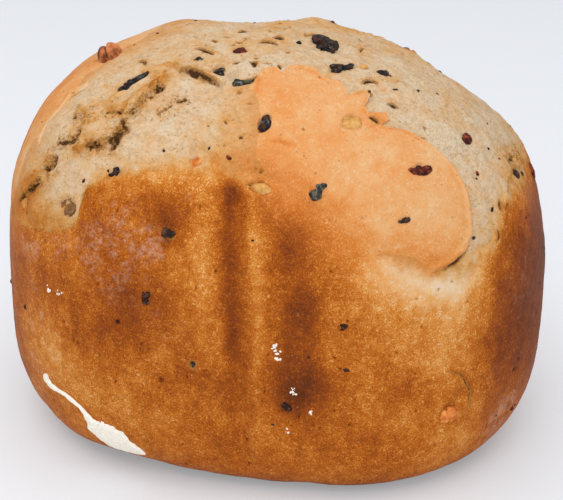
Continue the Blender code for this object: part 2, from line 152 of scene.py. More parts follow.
# Round pits and dents, and mounds with a negative depth: bearing, rise, radius, depth, and darkness, which is
# painted shade in the pit.
DENTS = (
    (-23, 54, 18, 2.0, 0.0), (-78.5, 52, 2.2, 1.2, 0.6), (49.5, -20.5, 5.0, 1.4, 0.42),
    (52, -17, 4.0, 0.7, 0.1), (67.5, -16, 1.8, 0.8, 0.6), (11, -21.5, 2.2, 0.8, 0.4),
    (-21.5, -16.5, 1.8, 0.7, 0.6), (-24.5, 6, 3.2, 0.8, 0.3), (-17.3, 26.6, 4.6, -0.9, 0.0),
    (-45.5, 22, 4.2, -0.8, 0.0), (-32, -2, 1.2, 0.7, 0.8), (-20, 20.5, 3.6, 0.9, 0.2),
    (-37, -6, 6.0, 0.5, 0.0), (45, 1, 9.0, 0.6, 0.0), (5, 35.5, 5.0, -0.9, 0.0), (14, -19, 5.0, 0.7, 0.1),
    (-45, 9, 10.0, -0.6, 0.0), (24, 3, 8.0, -0.5, 0.0), (-12, 41, 2.4, 0.4, 0.0), (150, -10, 9.0, 0.9, 0.0),
    (-150, 2, 8.0, 0.8, 0.0), (110, -8, 6.0, 0.7, 0.1),
)

# How baked the wall is, from pale to nearly burnt: bearing, rise, the spread of each, and how much more.
BAKED = (
    (-37, 22, 11, 8, 0.10), (-58, 5, 8, 9, 0.04), (-70, 12, 9, 12, -0.09), (-50, -15, 12, 10, -0.16),
    (-13, -15, 6, 7, 0.15), (-20, 29, 7, 5, 0.14), (-18.5, 25, 4, 4, 0.10), (-47, 17, 5, 4, -0.05),
    (-10.5, 22, 4, 12, -0.14), (-10, 6, 3.5, 12, -0.10), (-1, 35.5, 3, 3.5, 0.24),
    (-2.4, 12, 2.4, 28, 0.26), (4.6, 8, 1.7, 24, -0.16), (13.5, 22, 5, 7, 0.20), (12, -15, 7, 7, 0.22),
    (14, -2, 5, 18, 0.14), (14, -19, 5, 6, 0.16), (40, 13, 13, 11, -0.32), (44, -8, 8, 10, -0.14),
    (74, 0, 11, 14, 0.16), (50, 8, 6, 11, -0.24), (-17.3, 26.6, 3.5, 3.5, 0.06), (70, -16, 9, 10, 0.08),
    (55, -28, 14, 9, -0.08), (-37, -4, 12, 8, 0.12), (-27, 3, 8, 8, 0.17), (-35, -25, 16, 7, -0.10),
    (16, 6, 5, 8, 0.18), (40, -14, 5, 5, 0.12), (19, -13, 5, 6, 0.16), (-29, 9, 6, 5, 0.10),
    (100, 0, 16, 26, 0.22), (-85, 0, 18, 22, 0.14), (-120, -6, 14, 18, -0.06), (150, 4, 18, 20, 0.16),
    (-160, 6, 16, 18, 0.12), (180, -16, 20, 12, -0.10), (125, -14, 14, 12, -0.08),
)
# The wall's darker right end starts abruptly: the bearings that its edge runs between, and how much darker.
SIDE_SHADE = (56.5, 60, 0.16)
# How golden the torn top is, in the same way.
GOLDEN = (
    (-40, 62, 10, 6, 0.14), (-12, 68, 8, 4, 0.16), (30, 80, 60, 5, 0.10), (70, 66, 14, 6, 0.02),
    (-46, 44, 6, 8, 0.08), (-25, 52, 10, 9, -0.05), (62, 36, 6, 12, -0.05), (-62, 52, 8, 9, -0.06),
    (-84, 32, 14, 24, 0.14), (-75, 24, 8, 14, 0.08), (66, 34, 14, 14, -0.05), (18, 71, 24, 5, -0.08),
    (44, 14, 8, 5, 0.06), (40, 7, 8, 6, -0.06), (-56, 17, 10, 7, 0.16), (-50, 24, 8, 5, 0.08),
    (-4, 48, 8, 8, 0.08), (140, 60, 30, 14, 0.12), (-170, 50, 20, 14, 0.08),
)
# Flour bloom on the crust: bearing, rise, radius, amount.
DUSTY = (
    (-57, 9, 5, 1.2), (-53, 10, 4, 0.6), (-58.5, -19, 4.5, 1.0), (-26, 17, 7, 0.55), (-24, 20.5, 5, 0.5),
    (-20, 18.5, 4, 0.35), (-15, 31, 4, 0.5), (-30, 27, 6, 0.35), (-37, 21, 12, 0.45), (-47, 13, 4, 0.6),
    (-40, 14, 9, 0.4), (-53, -6, 2.2, 1.3), (-57.5, -10, 2.2, 1.4), (-52, -9, 2.0, 1.0), (-30, 8, 12, 0.4),
    (-56, 0, 5, 0.5), (-18, -4, 8, 0.35), (66, -26, 11, 1.3), (60, -14, 6, 0.4), (70, 3, 16, 0.4),
    (-40, -8, 10, 0.2), (4.5, 8, 3, 0.35), (-95, 4, 12, 0.4), (160, 10, 12, 0.4), (-160, -8, 14, 0.3),
)
# Where dark dashes, painted shade of fine pits, mark the wall: bearing, rise, the spread of each, and how
# strongly.
PITTED = (
    (-24, -18, 24, 13, 1.0), (18, -24, 22, 10, 0.6), (64, -20, 12, 10, 0.4), (150, -10, 40, 20, 0.5),
    (-120, 0, 20, 20, 0.4),
)
# Unmixed flour along the foot, front left: bearing, rise, half width.
SEAM = (
    (-53.6, -20.4, 1.4), (-54.8, -21.6, 1.8), (-53, -22.8, 1.4), (-50.5, -23, 0.8), (-48, -23.4, 0.8),
    (-46, -24.4, 1.3), (-44, -25.4, 0.9), (-42.8, -26.8, 1.0), (-42, -28.6, 2.2), (-41, -30.2, 5.0),
    (-39, -32, 7.4), (-37, -34, 7.8), (-34.8, -35.6, 6.0), (-32, -36.8, 3.6), (-29.5, -37.6, 1.4),
)
# Loose crumbs of flour: bearing, rise, length, width, turn.
FLOUR_CRUMBS = (
    (8.2, -4.6, 1.6, 1.0, 20), (8.8, -6.4, 2.6, 1.3, -35), (9.3, -8.2, 1.8, 1.2, 50),
    (12.5, -17.5, 1.9, 1.1, 10), (17.5, -22, 1.3, 0.9, 0), (11.5, -27, 1.2, 0.8, 40),
    (-50, 1.5, 1.6, 1.1, 60), (-47, 1.5, 1.2, 0.9, 0), (13.2, -16.4, 1.0, 0.7, 0),
)

# Small bits in the crust: bearing, rise, length, width, turn, kind.
BITS = (
    (56, 17, 1.4, 1.2, 0, "olive"), (54.5, 22, 1.3, 1.2, 0, "olive"), (50, 27.5, 1.3, 1.0, 20, "tomato"),
    (52.5, 30.5, 1.0, 0.9, 0, "olive"), (37.5, 25.5, 1.6, 1.0, -10, "olive"),
    (28.5, 40, 1.6, 1.1, 60, "tomato"), (28, 45, 1.1, 1.0, 0, "tomato"), (20, 41.5, 1.0, 0.9, 0, "olive"),
    (41, 45.5, 2.0, 1.4, -20, "tomato"), (63.5, 20.5, 2.0, 1.1, 40, "olive"),
    (-1.5, 43, 2.2, 1.4, -30, "tomato"), (-8, 45, 1.4, 0.8, 60, "olive"), (-22.5, 42, 1.2, 1.0, 0, "olive"),
    (64, 27, 1.2, 0.9, 10, "olive"), (75, 30, 1.4, 1.0, 0, "olive"), (60, 55, 1.8, 1.1, 0, "olive"),
    (73, 47, 1.6, 1.1, 30, "olive"), (80, 44, 1.2, 1.0, 0, "tomato"), (18, 57, 1.5, 1.2, 0, "olive"),
    (26, 60, 1.0, 0.9, 0, "olive"), (33, 55, 1.0, 0.8, 0, "tomato"), (66, 50, 2.6, 1.0, -25, "olive"),
    (-32, -2, 1.8, 1.2, 30, "olive"), (-13, -12, 3.0, 1.1, 80, "olive"), (8, -26, 1.2, 0.8, 0, "olive"),
    (-67, 34, 1.4, 0.9, 40, "tomato"), (-70, 42, 1.3, 0.9, 0, "tomato"), (67.5, -16, 2.0, 1.4, 30, "olive"),
    (-60, -6.5, 2.4, 1.2, 80, "olive"), (-42.5, 29, 1.6, 1.0, 70, "tomato"),
    (26, -10, 2.4, 1.2, -20, "olive"), (4, 24, 1.0, 0.7, 0, "olive"), (17, -7, 1.0, 0.8, 0, "olive"),
)
SCATTERED_BITS = 34
SUNK = 0.05  # how far a bit's middle lies under the surface
LOOKS = {  # of the pieces whose material isn't that of their kind
    "olive_shoulder_front": "veiled_olive",
    "tomato_curl_front": "pepper",
    "nut_foot_dimple": "pepper",
    "olive_angular_skin": "grey_olive",
    "olive_slice_top": "grey_olive",
}

DISC_RINGS = 150  # across half of the torn top
FRONT_DENSITY = 0.35  # share by which points are closer together in front
WALL_COLUMNS = 1040
WALL_ROWS = 150
WALL_SPLIT = (-95, 105)  # bearings where the front part of the wall ends
SKIN_RINGS = 84
BASE_COLUMNS = 360
BASE_ROWS = 60
SEAM_STEPS = 200
SEAM_ROWS = 25
OVERLAP = 4.0  # how far each crust runs on under its neighbour

CAMERA_AZIMUTH = 8.3
CAMERA_ELEVATION = 25.1
CAMERA_DISTANCE = 0.543
CAMERA_TARGET = (-0.0005, 0.0002, 0.060)
CAMERA_LENS = 95.5
SENSOR = 36.0
CAMERA_SHIFT = (5.9 / 563, 5.8 / 563)
LAMPS = (("overhead", (-0.10, -0.10, 1.20), 1.6, 10.7), ("front", (0.14, -1.30, 0.85), 1.4, 10.7))
WORLD_LIGHT = 0.49
FLOOR_GLOW = 0.22


# Colour


def linear(colour):
    """Linear values of a colour given as it looks on screen, from 0 to 255."""
    shown = [part / 255 for part in colour]
    return tuple(part / 12.92 if part <= 0.04045 else ((part + 0.055) / 1.055) ** 2.4 for part in shown)


CRUST_COLOURS = (
    (0.00, (221, 199, 168)), (0.12, (221, 186, 146)), (0.25, (220, 167, 105)), (0.40, (202, 128, 50)),
    (0.55, (176, 94, 22)), (0.70, (144, 70, 16)), (0.85, (120, 56, 18)), (1.00, (90, 44, 20)),
)
SKIN_COLOURS = (
    (0.00, (218, 189, 150)), (0.15, (219, 169, 117)), (0.32, (216, 143, 80)), (0.50, (200, 117, 50)),
    (0.75, (168, 86, 28)), (1.00, (110, 54, 22)),
)


CRUST_FIELDS = ("bake", "torn", "dust", "painted_shade", "skin", "pitted", "ragged", "tear", "slit")


# Noise, worked out from whole-number places so that it comes out the same every time


def hashed(cell, seed):
    """A repeatable number from 0 to 1 for each whole-number place."""
    x, y, z = (cell[..., axis].astype(np.uint64) for axis in range(3))
    mixed = x * np.uint64(0x9E3779B1) + y * np.uint64(0x85EBCA77) + z * np.uint64(0xC2B2AE3D)
    mixed = (mixed + np.uint64(seed * 0x27D4EB2F)) & np.uint64(0xFFFFFFFF)
    for shift, factor in ((15, 0x2C1B3C6D), (12, 0x297A2D39)):
        mixed = ((mixed ^ (mixed >> np.uint64(shift))) * np.uint64(factor)) & np.uint64(0xFFFFFFFF)
    return (mixed ^ (mixed >> np.uint64(15))) / 2.0**32


def noise(points, size, seed):
    """Smooth noise from -1 to 1, with features about this size."""
    spot = points / size
    low = np.floor(spot).astype(np.int64)
    part = spot - low
    part = part * part * (3 - 2 * part)
    total = np.zeros(len(points))
    for corner in np.ndindex(2, 2, 2):
        share = np.prod(np.where(corner, part, 1 - part), axis=-1)
        total += share * hashed(low + corner, seed)
    return total * 2 - 1


def rough(points, size, octaves, seed):
    """Noise with finer and finer noise added, from about -1 to 1."""
    total = np.zeros(len(points))
    for octave in range(octaves):
        total += noise(points, size / 2**octave, seed + octave) / 1.7**octave
    return total


def ridged(points, size, octaves, seed):
    """Noise with sharp crests, from about 0 to 1."""
    total, weight = np.zeros(len(points)), 0.0
    for octave in range(octaves):
        total += (1 - np.abs(noise(points, size / 2**octave, seed + octave))) / 2**octave
        weight += 1 / 2**octave
    return total / weight


def nearest_cell(points, size, seed):
    """How far each point is from the nearest of many scattered places, in cells, and that place's number."""
    spot = points / size
    low = np.floor(spot).astype(np.int64)
    best = np.full(len(points), 9.0)
    number = np.zeros(len(points))
    for corner in np.ndindex(3, 3, 3):
        cell = low + corner - 1
        centre = cell + np.stack([hashed(cell, seed + axis) for axis in range(3)], -1)
        apart = np.linalg.norm(spot - centre, axis=-1)
        number = np.where(apart < best, hashed(cell, seed + 3), number)
        best = np.minimum(apart, best)
    return best, number


def smooth(low, high, value):
    """0 at low and 1 at high, with a smooth change between."""
    part = np.clip((value - low) / (high - low), 0, 1)
    return part * part * (3 - 2 * part)


def bell(value):
    """1 at 0, falling off smoothly on both sides."""
    return np.exp(-(value**2))


# The loaf's plain outside


def direction(bearing, rise):
    bearing, rise = np.radians(bearing), np.radians(rise)
    across = np.cos(rise)
    return np.stack([np.sin(bearing) * across, -np.cos(bearing) * across, np.sin(rise) + 0 * bearing], -1)


def reach(way):
    plan = np.abs(way[..., 0] / (LENGTH / 2)) ** PLAN_POWER + np.abs(way[..., 1] / (DEPTH / 2)) ** PLAN_POWER
    plan = plan ** (1 / PLAN_POWER)
    above = way[..., 2] >= 0
    power = np.where(above, DOME_POWER, FOOT_POWER)
    tall = np.where(above, HEIGHT - WIDEST, WIDEST * FOOT_DROP)
    return (plan**power + np.abs(way[..., 2] / tall) ** power) ** (-1 / power)


def swell(way):
    total = np.zeros(way.shape[:-1])
    for bearing, rise, spread, height in SWELLS:
        centre = direction(float(bearing), float(rise))
        apart = np.degrees(np.arccos(np.clip(way @ centre, -1, 1)))
        total += height * bell(apart / spread)
    return total


def rib_mark(x, y, z):
    height = z + WIDEST
    fade = np.clip((RIB_TOP - height) / RIB_FADE, 0, 1) * np.clip((height - RIB_FOOT) / RIB_FADE, 0, 1)
    shift = np.zeros_like(x)
    for centre, width, proud in RIB_MARKS:
        shift -= np.where(y < 0, proud * bell((x - centre) / width), 0)
        shift += np.where(y > 0, proud * bell((x + centre - BACK_RIB_X) / width), 0)
    return shift * fade


def plain(bearing, rise):
    """Points of the plain outside, from the loaf's middle."""
    way = direction(bearing, rise)
    points = way * (reach(way) + swell(way))[..., None]
    x, y, z = points[..., 0], points[..., 1], np.maximum(points[..., 2], -WIDEST)
    lean = LEAN * np.clip(z / (HEIGHT - WIDEST), 0, 1) ** 2
    return np.stack([x + lean, y + rib_mark(x, y, z), z], -1)


def outward(bearing, rise, step=0.3):
    """Outward normals of the plain outside, taken between points a little to each side."""
    way = direction(bearing, rise)
    side = np.cross(way, np.array([0.3, 0.2, 1.0]))
    side /= np.linalg.norm(side, axis=-1, keepdims=True)
    other = np.cross(way, side)
    near = math.tan(math.radians(step))
    across = at_way(way + side * near) - at_way(way - side * near)
    along = at_way(way + other * near) - at_way(way - other * near)
    normal = np.cross(across, along)
    normal *= np.sign((normal * way).sum(-1, keepdims=True))
    return normal / np.linalg.norm(normal, axis=-1, keepdims=True)


def angles(way):
    way = way / np.linalg.norm(way, axis=-1, keepdims=True)
    bearing = np.degrees(np.arctan2(way[..., 0], -way[..., 1]))
    return bearing, np.degrees(np.arcsin(np.clip(way[..., 2], -1, 1)))


def at_way(way):
    return plain(*angles(way))


def rise_at_height(bearing, height):
    """The rise, at each bearing, where the outside is this high above the floor."""
    low = np.full_like(bearing, -89.0)
    high = np.full_like(bearing, 89.0)
    for _ in range(26):
        half = (low + high) / 2
        under = plain(bearing, half)[..., 2] + WIDEST < height
        low = np.where(under, half, low)
        high = np.where(under, high, half)
    return (low + high) / 2


def rim_height(bearing):
    places, heights = zip(*RIM)
    return np.interp(bearing, places + (180,), heights + (heights[0],))


# Distances over the surface


def from_line(points, places):
    """Each point's distance from a line of places, its side of it (up is positive), and how far along."""
    line = plain(*np.array(places, float).T)
    lengths = np.linalg.norm(np.diff(line, axis=0), axis=1)
    starts = np.concatenate([[0], np.cumsum(lengths)]) / lengths.sum()
    best = np.full(len(points), 1e6)
    side, share = np.zeros(len(points)), np.zeros(len(points))
    for start, end, from_share, to_share in zip(line, line[1:], starts, starts[1:]):
        run = end - start
        part = np.clip((points - start) @ run / (run @ run), 0, 1)
        offset = points - start - part[:, None] * run
        apart = np.linalg.norm(offset, axis=1)
        over = np.cross(start / np.linalg.norm(start), run / np.linalg.norm(run))
        nearer = apart < best
        side = np.where(nearer, offset @ over, side)
        share = np.where(nearer, from_share + part * (to_share - from_share), share)
        best = np.minimum(best, apart)
    return best, side, share


def beside(points, places, margin):
    """The points near a line of places: their numbers, themselves, and what from_line gives for them."""
    line = plain(*np.array(places, float).T)
    middle = (line.min(0) + line.max(0)) / 2
    radius = np.linalg.norm(line - middle, axis=1).max()
    near = np.flatnonzero(np.linalg.norm(points - middle, axis=1) < radius + margin)
    return near, points[near], *from_line(points[near], places)


def patches(bearing, rise, table):
    """The sum of soft oval patches, each given as bearing, rise, two spreads and an amount."""
    total = np.zeros(len(bearing))
    for at_bearing, at_rise, wide, tall, amount in table:
        turned = (bearing - at_bearing + 180) % 360 - 180
        total += amount * bell(turned / wide) * bell((rise - at_rise) / tall)
    return total


# Everything that breaks the plain surface, and what colours it


def torn_share(points, bearing):
    """1 on the torn top, 0 on the wall that the pan baked. The change is quick in front on the left."""
    softness = 1 - 0.68 * bell((bearing + 58) / 32)
    over = over_rim(points, bearing) + (1.2 + 1.4 * softness) * rough(points, 9, 4, 11)
    over += 0.9 * rough(points, 2.6, 3, 271)
    return smooth(-4.5 * softness, 3.0 * softness, over)


def add_tears(points, fields):
    for places, half_width, depth in TEARS:
        near, spots, apart, _, share = beside(points, places, RAGGED + 2)
        ends = smooth(0, 0.08, share) * smooth(1, 0.92, share)
        ragged = smooth(RAGGED, 1.0, apart + 1.5 * rough(spots, 5, 2, 251)) * (0.3 + 0.7 * ends)
        apart = apart + 0.7 * rough(spots, 3.0, 2, 21)
        torn_open = smooth(-0.9, 0.1, rough(spots, 4.0, 2, 31)) * (0.25 + 0.75 * ends)
        band = np.clip(1 - apart / (3 * half_width), 0, 1) * torn_open
        shreds = ragged * (ridged(spots, 2.4, 3, 41) - 0.72) * (1 - band)
        fields["height"][near] += 2.2 * shreds - depth * smooth(0.3, 0.8, band)
        fields["tear"][near] = np.maximum(fields["tear"][near], band)
        fields["ragged"][near] = np.maximum(fields["ragged"][near], ragged)
        fields["bake"][near] += 0.9 * np.maximum(shreds, 0) + 0.08 * ragged


def add_cliffs(points, fields):
    for places, high, high_reach, low, low_reach in CLIFFS:
        near, spots, apart, side, share = beside(points, places, 16)
        beyond = np.sqrt(np.maximum(apart**2 - side**2, 0))
        side = side + 0.9 * rough(spots, 2.2, 3, 201)
        ends = smooth(0, 0.06, share) * smooth(1, 0.94, share) * bell(beyond / 3)
        upper = smooth(-0.6, 0.6, side)
        step = upper * high * bell(side / high_reach)
        step -= (1 - upper) * low * bell(side / low_reach)
        curled = bell((side - 0.6) / 0.5)
        fields["height"][near] += ends * (step + 0.25 * curled)
        fields["bake"][near] += 0.10 * ends * curled


def small_splits():
    """Many short splits over the torn top, most of them nearly level."""
    chance = random.Random("splits")
    made = []
    for _ in range(SMALL_SPLITS):
        bearing = chance.uniform(-180, 180)
        rise = chance.uniform(34, 84)
        length = chance.uniform(1.5, 6.0)
        turn = chance.gauss(0, 25)
        wide = 0.7 * length * math.cos(math.radians(turn)) / math.cos(math.radians(rise)) / 2
        tall = 0.7 * length * math.sin(math.radians(turn)) / 2
        bend = chance.uniform(-0.6, 0.6)
        places = ((bearing - wide, rise - tall), (bearing, rise + bend), (bearing + wide, rise + tall))
        made.append((places, chance.uniform(0.1, 0.35), chance.uniform(0.0, 0.5), chance.uniform(0.1, 0.4)))
    return made


def add_splits(points, fields, splits):
    """Narrow splits. The field falls off evenly on both sides, so that the material can cut a sharp edge."""
    for places, half_width, depth, lip in splits:
        near, spots, apart, side, share = beside(points, places, half_width * 6 + 3)
        side = side + 0.4 * noise(spots, 2.5, 51)
        taper = np.sin(np.pi * np.clip(share, 0.02, 0.98)) ** 0.5
        off = np.hypot(side, np.maximum(apart - np.abs(side), 0))
        slit = np.clip(1 - off / (3 * half_width + 0.5), 0, 1) * taper * (0.7 + 0.3 * smooth(0, 0.6, depth))
        edge = bell((side - 2.4 * half_width - 0.2) / (1.2 * half_width + 0.2)) * bell((apart / 5) ** 2)
        fields["height"][near] += taper * lip * edge - depth * smooth(0.55, 0.9, slit)
        fields["slit"][near] = np.maximum(fields["slit"][near], slit)
        fields["bake"][near] += 0.12 * edge * taper * (lip > 0)


def add_folds(points, fields):
    for places, half_width, height, darker in FOLDS:
        near, _, apart, _, share = beside(points, places, half_width * 4)
        fold = bell(apart / half_width) * np.sin(np.pi * np.clip(share, 0.06, 0.94)) ** 0.5
        fields["height"][near] += height * fold
        fields["bake"][near] += darker * fold


def add_dents(points, fields):
    for bearing, rise, radius, depth, pit_shade in DENTS:
        centre = plain(float(bearing), float(rise))
        apart = np.linalg.norm(points - centre, axis=1) + 0.15 * radius * noise(points, radius, 61)
        dent = smooth(radius, radius * 0.2, apart)
        fields["height"] -= depth * dent
        # Painted shade darkens the pit.
        fields["painted_shade"] = np.maximum(fields["painted_shade"], pit_shade * dent)


def add_seats(fields, points, seats):
    """A shallow seat in the crust round each piece, with a slightly raised edge and painted shade where the
    piece sits.
    """
    for seat in seats:
        apart = np.linalg.norm((points - seat["foot"]) @ seat["axes"][:, :2] / seat["half"][:2], axis=1)
        outside = np.abs((points - seat["foot"]) @ seat["axes"][:, 2]) > 9
        apart = np.where(outside, 9, apart)
        near = np.flatnonzero(apart < 2.2)
        spots = points[near]
        apart = apart[near] + 0.22 * noise(spots, 1.9, 221)
        inside = smooth(1.12, 0.85, apart)
        ring = bell((apart - 1.3) / 0.22)
        buried = -0.35 + 0.50 * rough(spots, 2.2, 2, 231)
        height = fields["height"][near]
        fields["height"][near] = height * (1 - inside) + buried * inside + 0.12 * ring
        # Painted shade in the seat round the piece.
        fields["painted_shade"][near] = np.maximum(fields["painted_shade"][near], 0.12 * inside)


def add_pores(points, fields, torn):
    """Gas bubbles' openings: many in the torn top, few and fine in the wall, darkened with painted shade."""
    apart, number = nearest_cell(points, 2.6, 71)
    pores = smooth(0.30, 0.10, apart) * (number < 0.2)
    few = smooth(0.26, 0.1, apart) * (number > 0.93)
    fields["height"] -= 0.25 * pores * torn + 0.35 * few * (1 - torn)
    fields["painted_shade"] = np.maximum(fields["painted_shade"], 0.3 * pores * torn + 0.7 * few * (1 - torn))


def wall_bake(points, bearing, rise):
    """How baked the wall is: paler under the rim, darker round the right end, and with a painted contact
    shadow along the foot.
    """
    bake = 0.585 + patches(bearing, rise, BAKED) + 0.05 * rough(points, 14, 3, 81)
    under_rim = bell((over_rim(points, bearing) + 1) / 6)
    bake -= (0.16 - 0.14 * bell((bearing + 60) / 22)) * under_rim
    height = points[:, 2] + WIDEST
    # Painted shadow: the crust darkens along the foot where the loaf meets the floor.
    edge = smooth(0.6, 0.8, np.hypot(points[:, 0] / (LENGTH / 2), points[:, 1] / (DEPTH / 2)))
    bake += edge * (0.5 * smooth(6.5, 1.5, height) + 0.08 * smooth(12, 2, height))
    start, full, darker = SIDE_SHADE
    side = smooth(start, full, bearing + 1.5 * rough(points, 9, 3, 261)) * smooth(108, 80, bearing)
    return bake + darker * side * bell((rise + 2) / 20)


def top_bake(points, bearing, rise):
    """How golden the torn top is, most of all along the rim."""
    bake = 0.09 + patches(bearing, rise, GOLDEN) + 0.07 * rough(points, 8, 3, 91)
    return bake + 0.14 * bell(over_rim(points, bearing) / 7)


def surface_fields(points, bearing, rise, seats, skin=False):
    """Height over the plain surface and the colour fields, at each point."""
    torn = torn_share(points, bearing)
    fields = {name: np.zeros(len(points)) for name in ("height", "painted_shade", "ragged", "tear", "slit")}
    fields["torn"] = torn * (0.25 if skin else 1.0)
    wall, top = wall_bake(points, bearing, rise), top_bake(points, bearing, rise)
    fields["bake"] = wall * (1 - torn) + top * torn
    fields["height"] += 0.35 * rough(points, 20, 2, 101) + 0.10 * rough(points, 4, 2, 111)
    if not skin:
        fibres = ridged(points * np.array([1.0, 1.0, 0.8]), 3.6, 4, 121)
        flaky = 0.8 * (fibres - 0.72) + 0.5 * rough(points, 9, 4, 131)
        flaky *= 1 - 0.9 * under_skins(bearing, rise)
        fields["height"] += torn * flaky
        # Painted shade in the low spots of the torn top's flakes.
        fields["painted_shade"] = 0.16 * torn * smooth(-0.35, -0.9, flaky)
        add_cliffs(points, fields)
        add_tears(points, fields)
        add_splits(points, fields, small_splits())
    add_splits(points, fields, SPLITS)
    add_folds(points, fields)
    add_dents(points, fields)
    add_pores(points, fields, fields["torn"])
    add_seats(fields, points, seats)
    fields["dust"] = dust_share(points, torn)
    fields["pitted"] = np.clip(patches(bearing, rise, PITTED), 0, 1) * (1 - torn)
    fields["skin"] = skin_share(bearing, rise, points, skin)
    fields["ragged"] = fields["ragged"] * torn * (1 - fields["skin"])
    fields["bake"] += 0.18 * fields["skin"] * torn
    return fields


def under_skins(bearing, rise):
    """1 under the skins, where the torn top has to stay lower than they do."""
    shares = [outline_share(bearing, rise, outline, middle)[0] for outline, middle, _ in SKINS]
    return smooth(1.1, 0.85, np.minimum(*shares))


def over_rim(points, bearing):
    return points[:, 2] + WIDEST - rim_height(bearing)


def dust_share(points, torn):
    total = np.zeros(len(points))
    for bearing, rise, radius, amount in DUSTY:
        apart = np.linalg.norm(points - plain(float(bearing), float(rise)), axis=1)
        total += amount * bell(apart / radius)
    return total * smooth(-1.1, 0.9, rough(points, 3.5, 4, 141)) * (1 - 0.7 * torn)


def skin_share(bearing, rise, points, skin):
    """1 on the smooth orange skins, fading out over the wall and towards the flap's left side."""
    share = np.zeros(len(bearing))
    for outline, middle, strength in SKINS:
        inside, edge = outline_share(bearing, rise, outline, middle)
        inside = inside + 0.06 * rough(points, 8, 3, 151) + (0 if skin else 0.12 * smooth(0.2, 0.6, edge))
        softness = 0.05 + 0.40 * smooth(0.4, -0.8, edge)
        share = np.maximum(share, strength * smooth(1.0 + softness, 1.0 - softness, inside))
    return share * (0.76 + 0.24 * smooth(14, 42, rise + 6 * rough(points, 18, 2, 241)))


# Skins: patches of surface round a middle


def local_axes(middle):
    out = direction(float(middle[0]), float(middle[1]))
    east = np.cross(np.array([0, 0, 1.0]), out)
    east /= np.linalg.norm(east)
    return east, np.cross(out, east), out


def flat_places(way, middle):
    """Where unit vectors fall on a flat map centred on a place. Those facing away fall far out."""
    east, north, out = local_axes(middle)
    ahead = way @ out
    scale = 1 / np.maximum(ahead, 0.05)
    return way @ east * scale, way @ north * scale


def outline_radius(outline, middle):
    """A function of the turn about the middle that gives an outline's radius and edge height there."""
    spots = np.array(outline, float)
    x, y = flat_places(direction(spots[:, 0], spots[:, 1]), middle)
    turn = np.arctan2(y, x)
    order = np.argsort(turn)
    turn, radius, lift = turn[order], np.hypot(x, y)[order], spots[order, 2]

    def at(angle):
        return (
            np.interp(angle, turn, radius, period=math.tau),
            np.interp(angle, turn, lift, period=math.tau),
        )

    return at


def outline_share(bearing, rise, outline, middle):
    """How far out each place is, as a share of the outline's radius, and the edge's height on that side."""
    x, y = flat_places(direction(bearing, rise), middle)
    radius, edge = outline_radius(outline, middle)(np.arctan2(y, x))
    return np.hypot(x, y) / radius, edge


# Grids


def disc_grid(rings):
    """Ring and turn (in degrees) of the points of a square grid drawn out round, and its square faces."""
    side = np.arange(-rings, rings + 1)
    i, j = (part.ravel().astype(float) for part in np.meshgrid(side, side, indexing="ij"))
    ring = np.maximum(np.abs(i), np.abs(j))
    safe = np.maximum(ring, 1)
    flat = np.abs(i) >= np.abs(j)
    turn = np.where(flat, 45 * j / safe * np.sign(i), 90 * np.sign(j) - 45 * i / safe * np.sign(j))
    turn = np.where(flat & (i < 0), turn + 180, turn)
    count = 2 * rings + 1
    corner = (np.arange(count - 1)[:, None] * count + np.arange(count - 1)).ravel()
    faces = np.stack([corner, corner + count, corner + count + 1, corner + 1], -1)
    return ring, (turn + 180) % 360 - 180, faces


def denser_in_front(turn):
    """Turns moved towards the front, so that points are closer together there than at the back."""
    return turn - np.degrees(FRONT_DENSITY * np.sin(np.radians(turn)))


def band_faces(rows, columns, loop):
    """Square faces between rows of points, closed round into a loop or left open."""
    last = columns if loop else columns - 1
    column = np.arange(last)
    row = np.arange(rows - 1)[:, None] * columns
    following = (column + 1) % columns
    corners = [row + column, row + following, row + columns + following, row + columns + column]
    return np.stack([corner.ravel() for corner in corners], -1)


def facing_out(points, faces):
    """The same faces, turned round if most of them face the loaf's middle."""
    a, b, c = (points[faces[:, corner]] for corner in range(3))
    outwards = (np.cross(b - a, c - a) * a).sum(-1)
    return faces if np.median(outwards) > 0 else faces[:, ::-1]


def add_mesh(name, points, faces, fields=None):
    """An object from points in millimetres from the loaf's middle, with its fields as attributes."""
    mesh = bpy.data.meshes.new(name)
    mesh.vertices.add(len(points))
    mesh.vertices.foreach_set("co", ((points + MIDDLE) / 1000).astype(np.float32).ravel())
    mesh.loops.add(faces.size)
    mesh.loops.foreach_set("vertex_index", faces.astype(np.int32).ravel())
    mesh.polygons.add(len(faces))
    mesh.polygons.foreach_set("loop_start", np.arange(0, faces.size, faces.shape[1], dtype=np.int32))
    mesh.update(calc_edges=True)
    mesh.shade_smooth()
    for key, values in (fields or {}).items():
        made = mesh.attributes.new(key, "FLOAT", "POINT")
        made.data.foreach_set("value", values.astype(np.float32))
    thing = bpy.data.objects.new(name, mesh)
    bpy.context.scene.collection.objects.link(thing)
    return thing


def raised(bearing, rise, seats, lift=0.0, skin=False):
    """Points of the real surface with their fields."""
    base = plain(bearing, rise)
    fields = surface_fields(base, bearing, rise, seats, skin)
    points = base + outward(bearing, rise) * (fields.pop("height") + lift)[:, None]
    points[:, 2] = np.maximum(points[:, 2], -WIDEST)
    return points, fields


# Crusts


def torn_crust(seats):
    """The torn top as one square grid drawn out round, so that no points crowd together at its middle."""
    ring, turn, faces = disc_grid(DISC_RINGS)
    bearing = denser_in_front(turn)
    rim = rise_at_height(bearing, rim_height(bearing) - OVERLAP)
    rise = rim + (90 - rim) * (1 - ring / DISC_RINGS)
    below = np.maximum(-over_rim(plain(bearing, rise), bearing), 0)
    points, fields = raised(bearing, rise, seats, -0.3 * (below / OVERLAP) ** 2)
    return add_mesh("torn_crust_skin", points, facing_out(points, faces), fields)


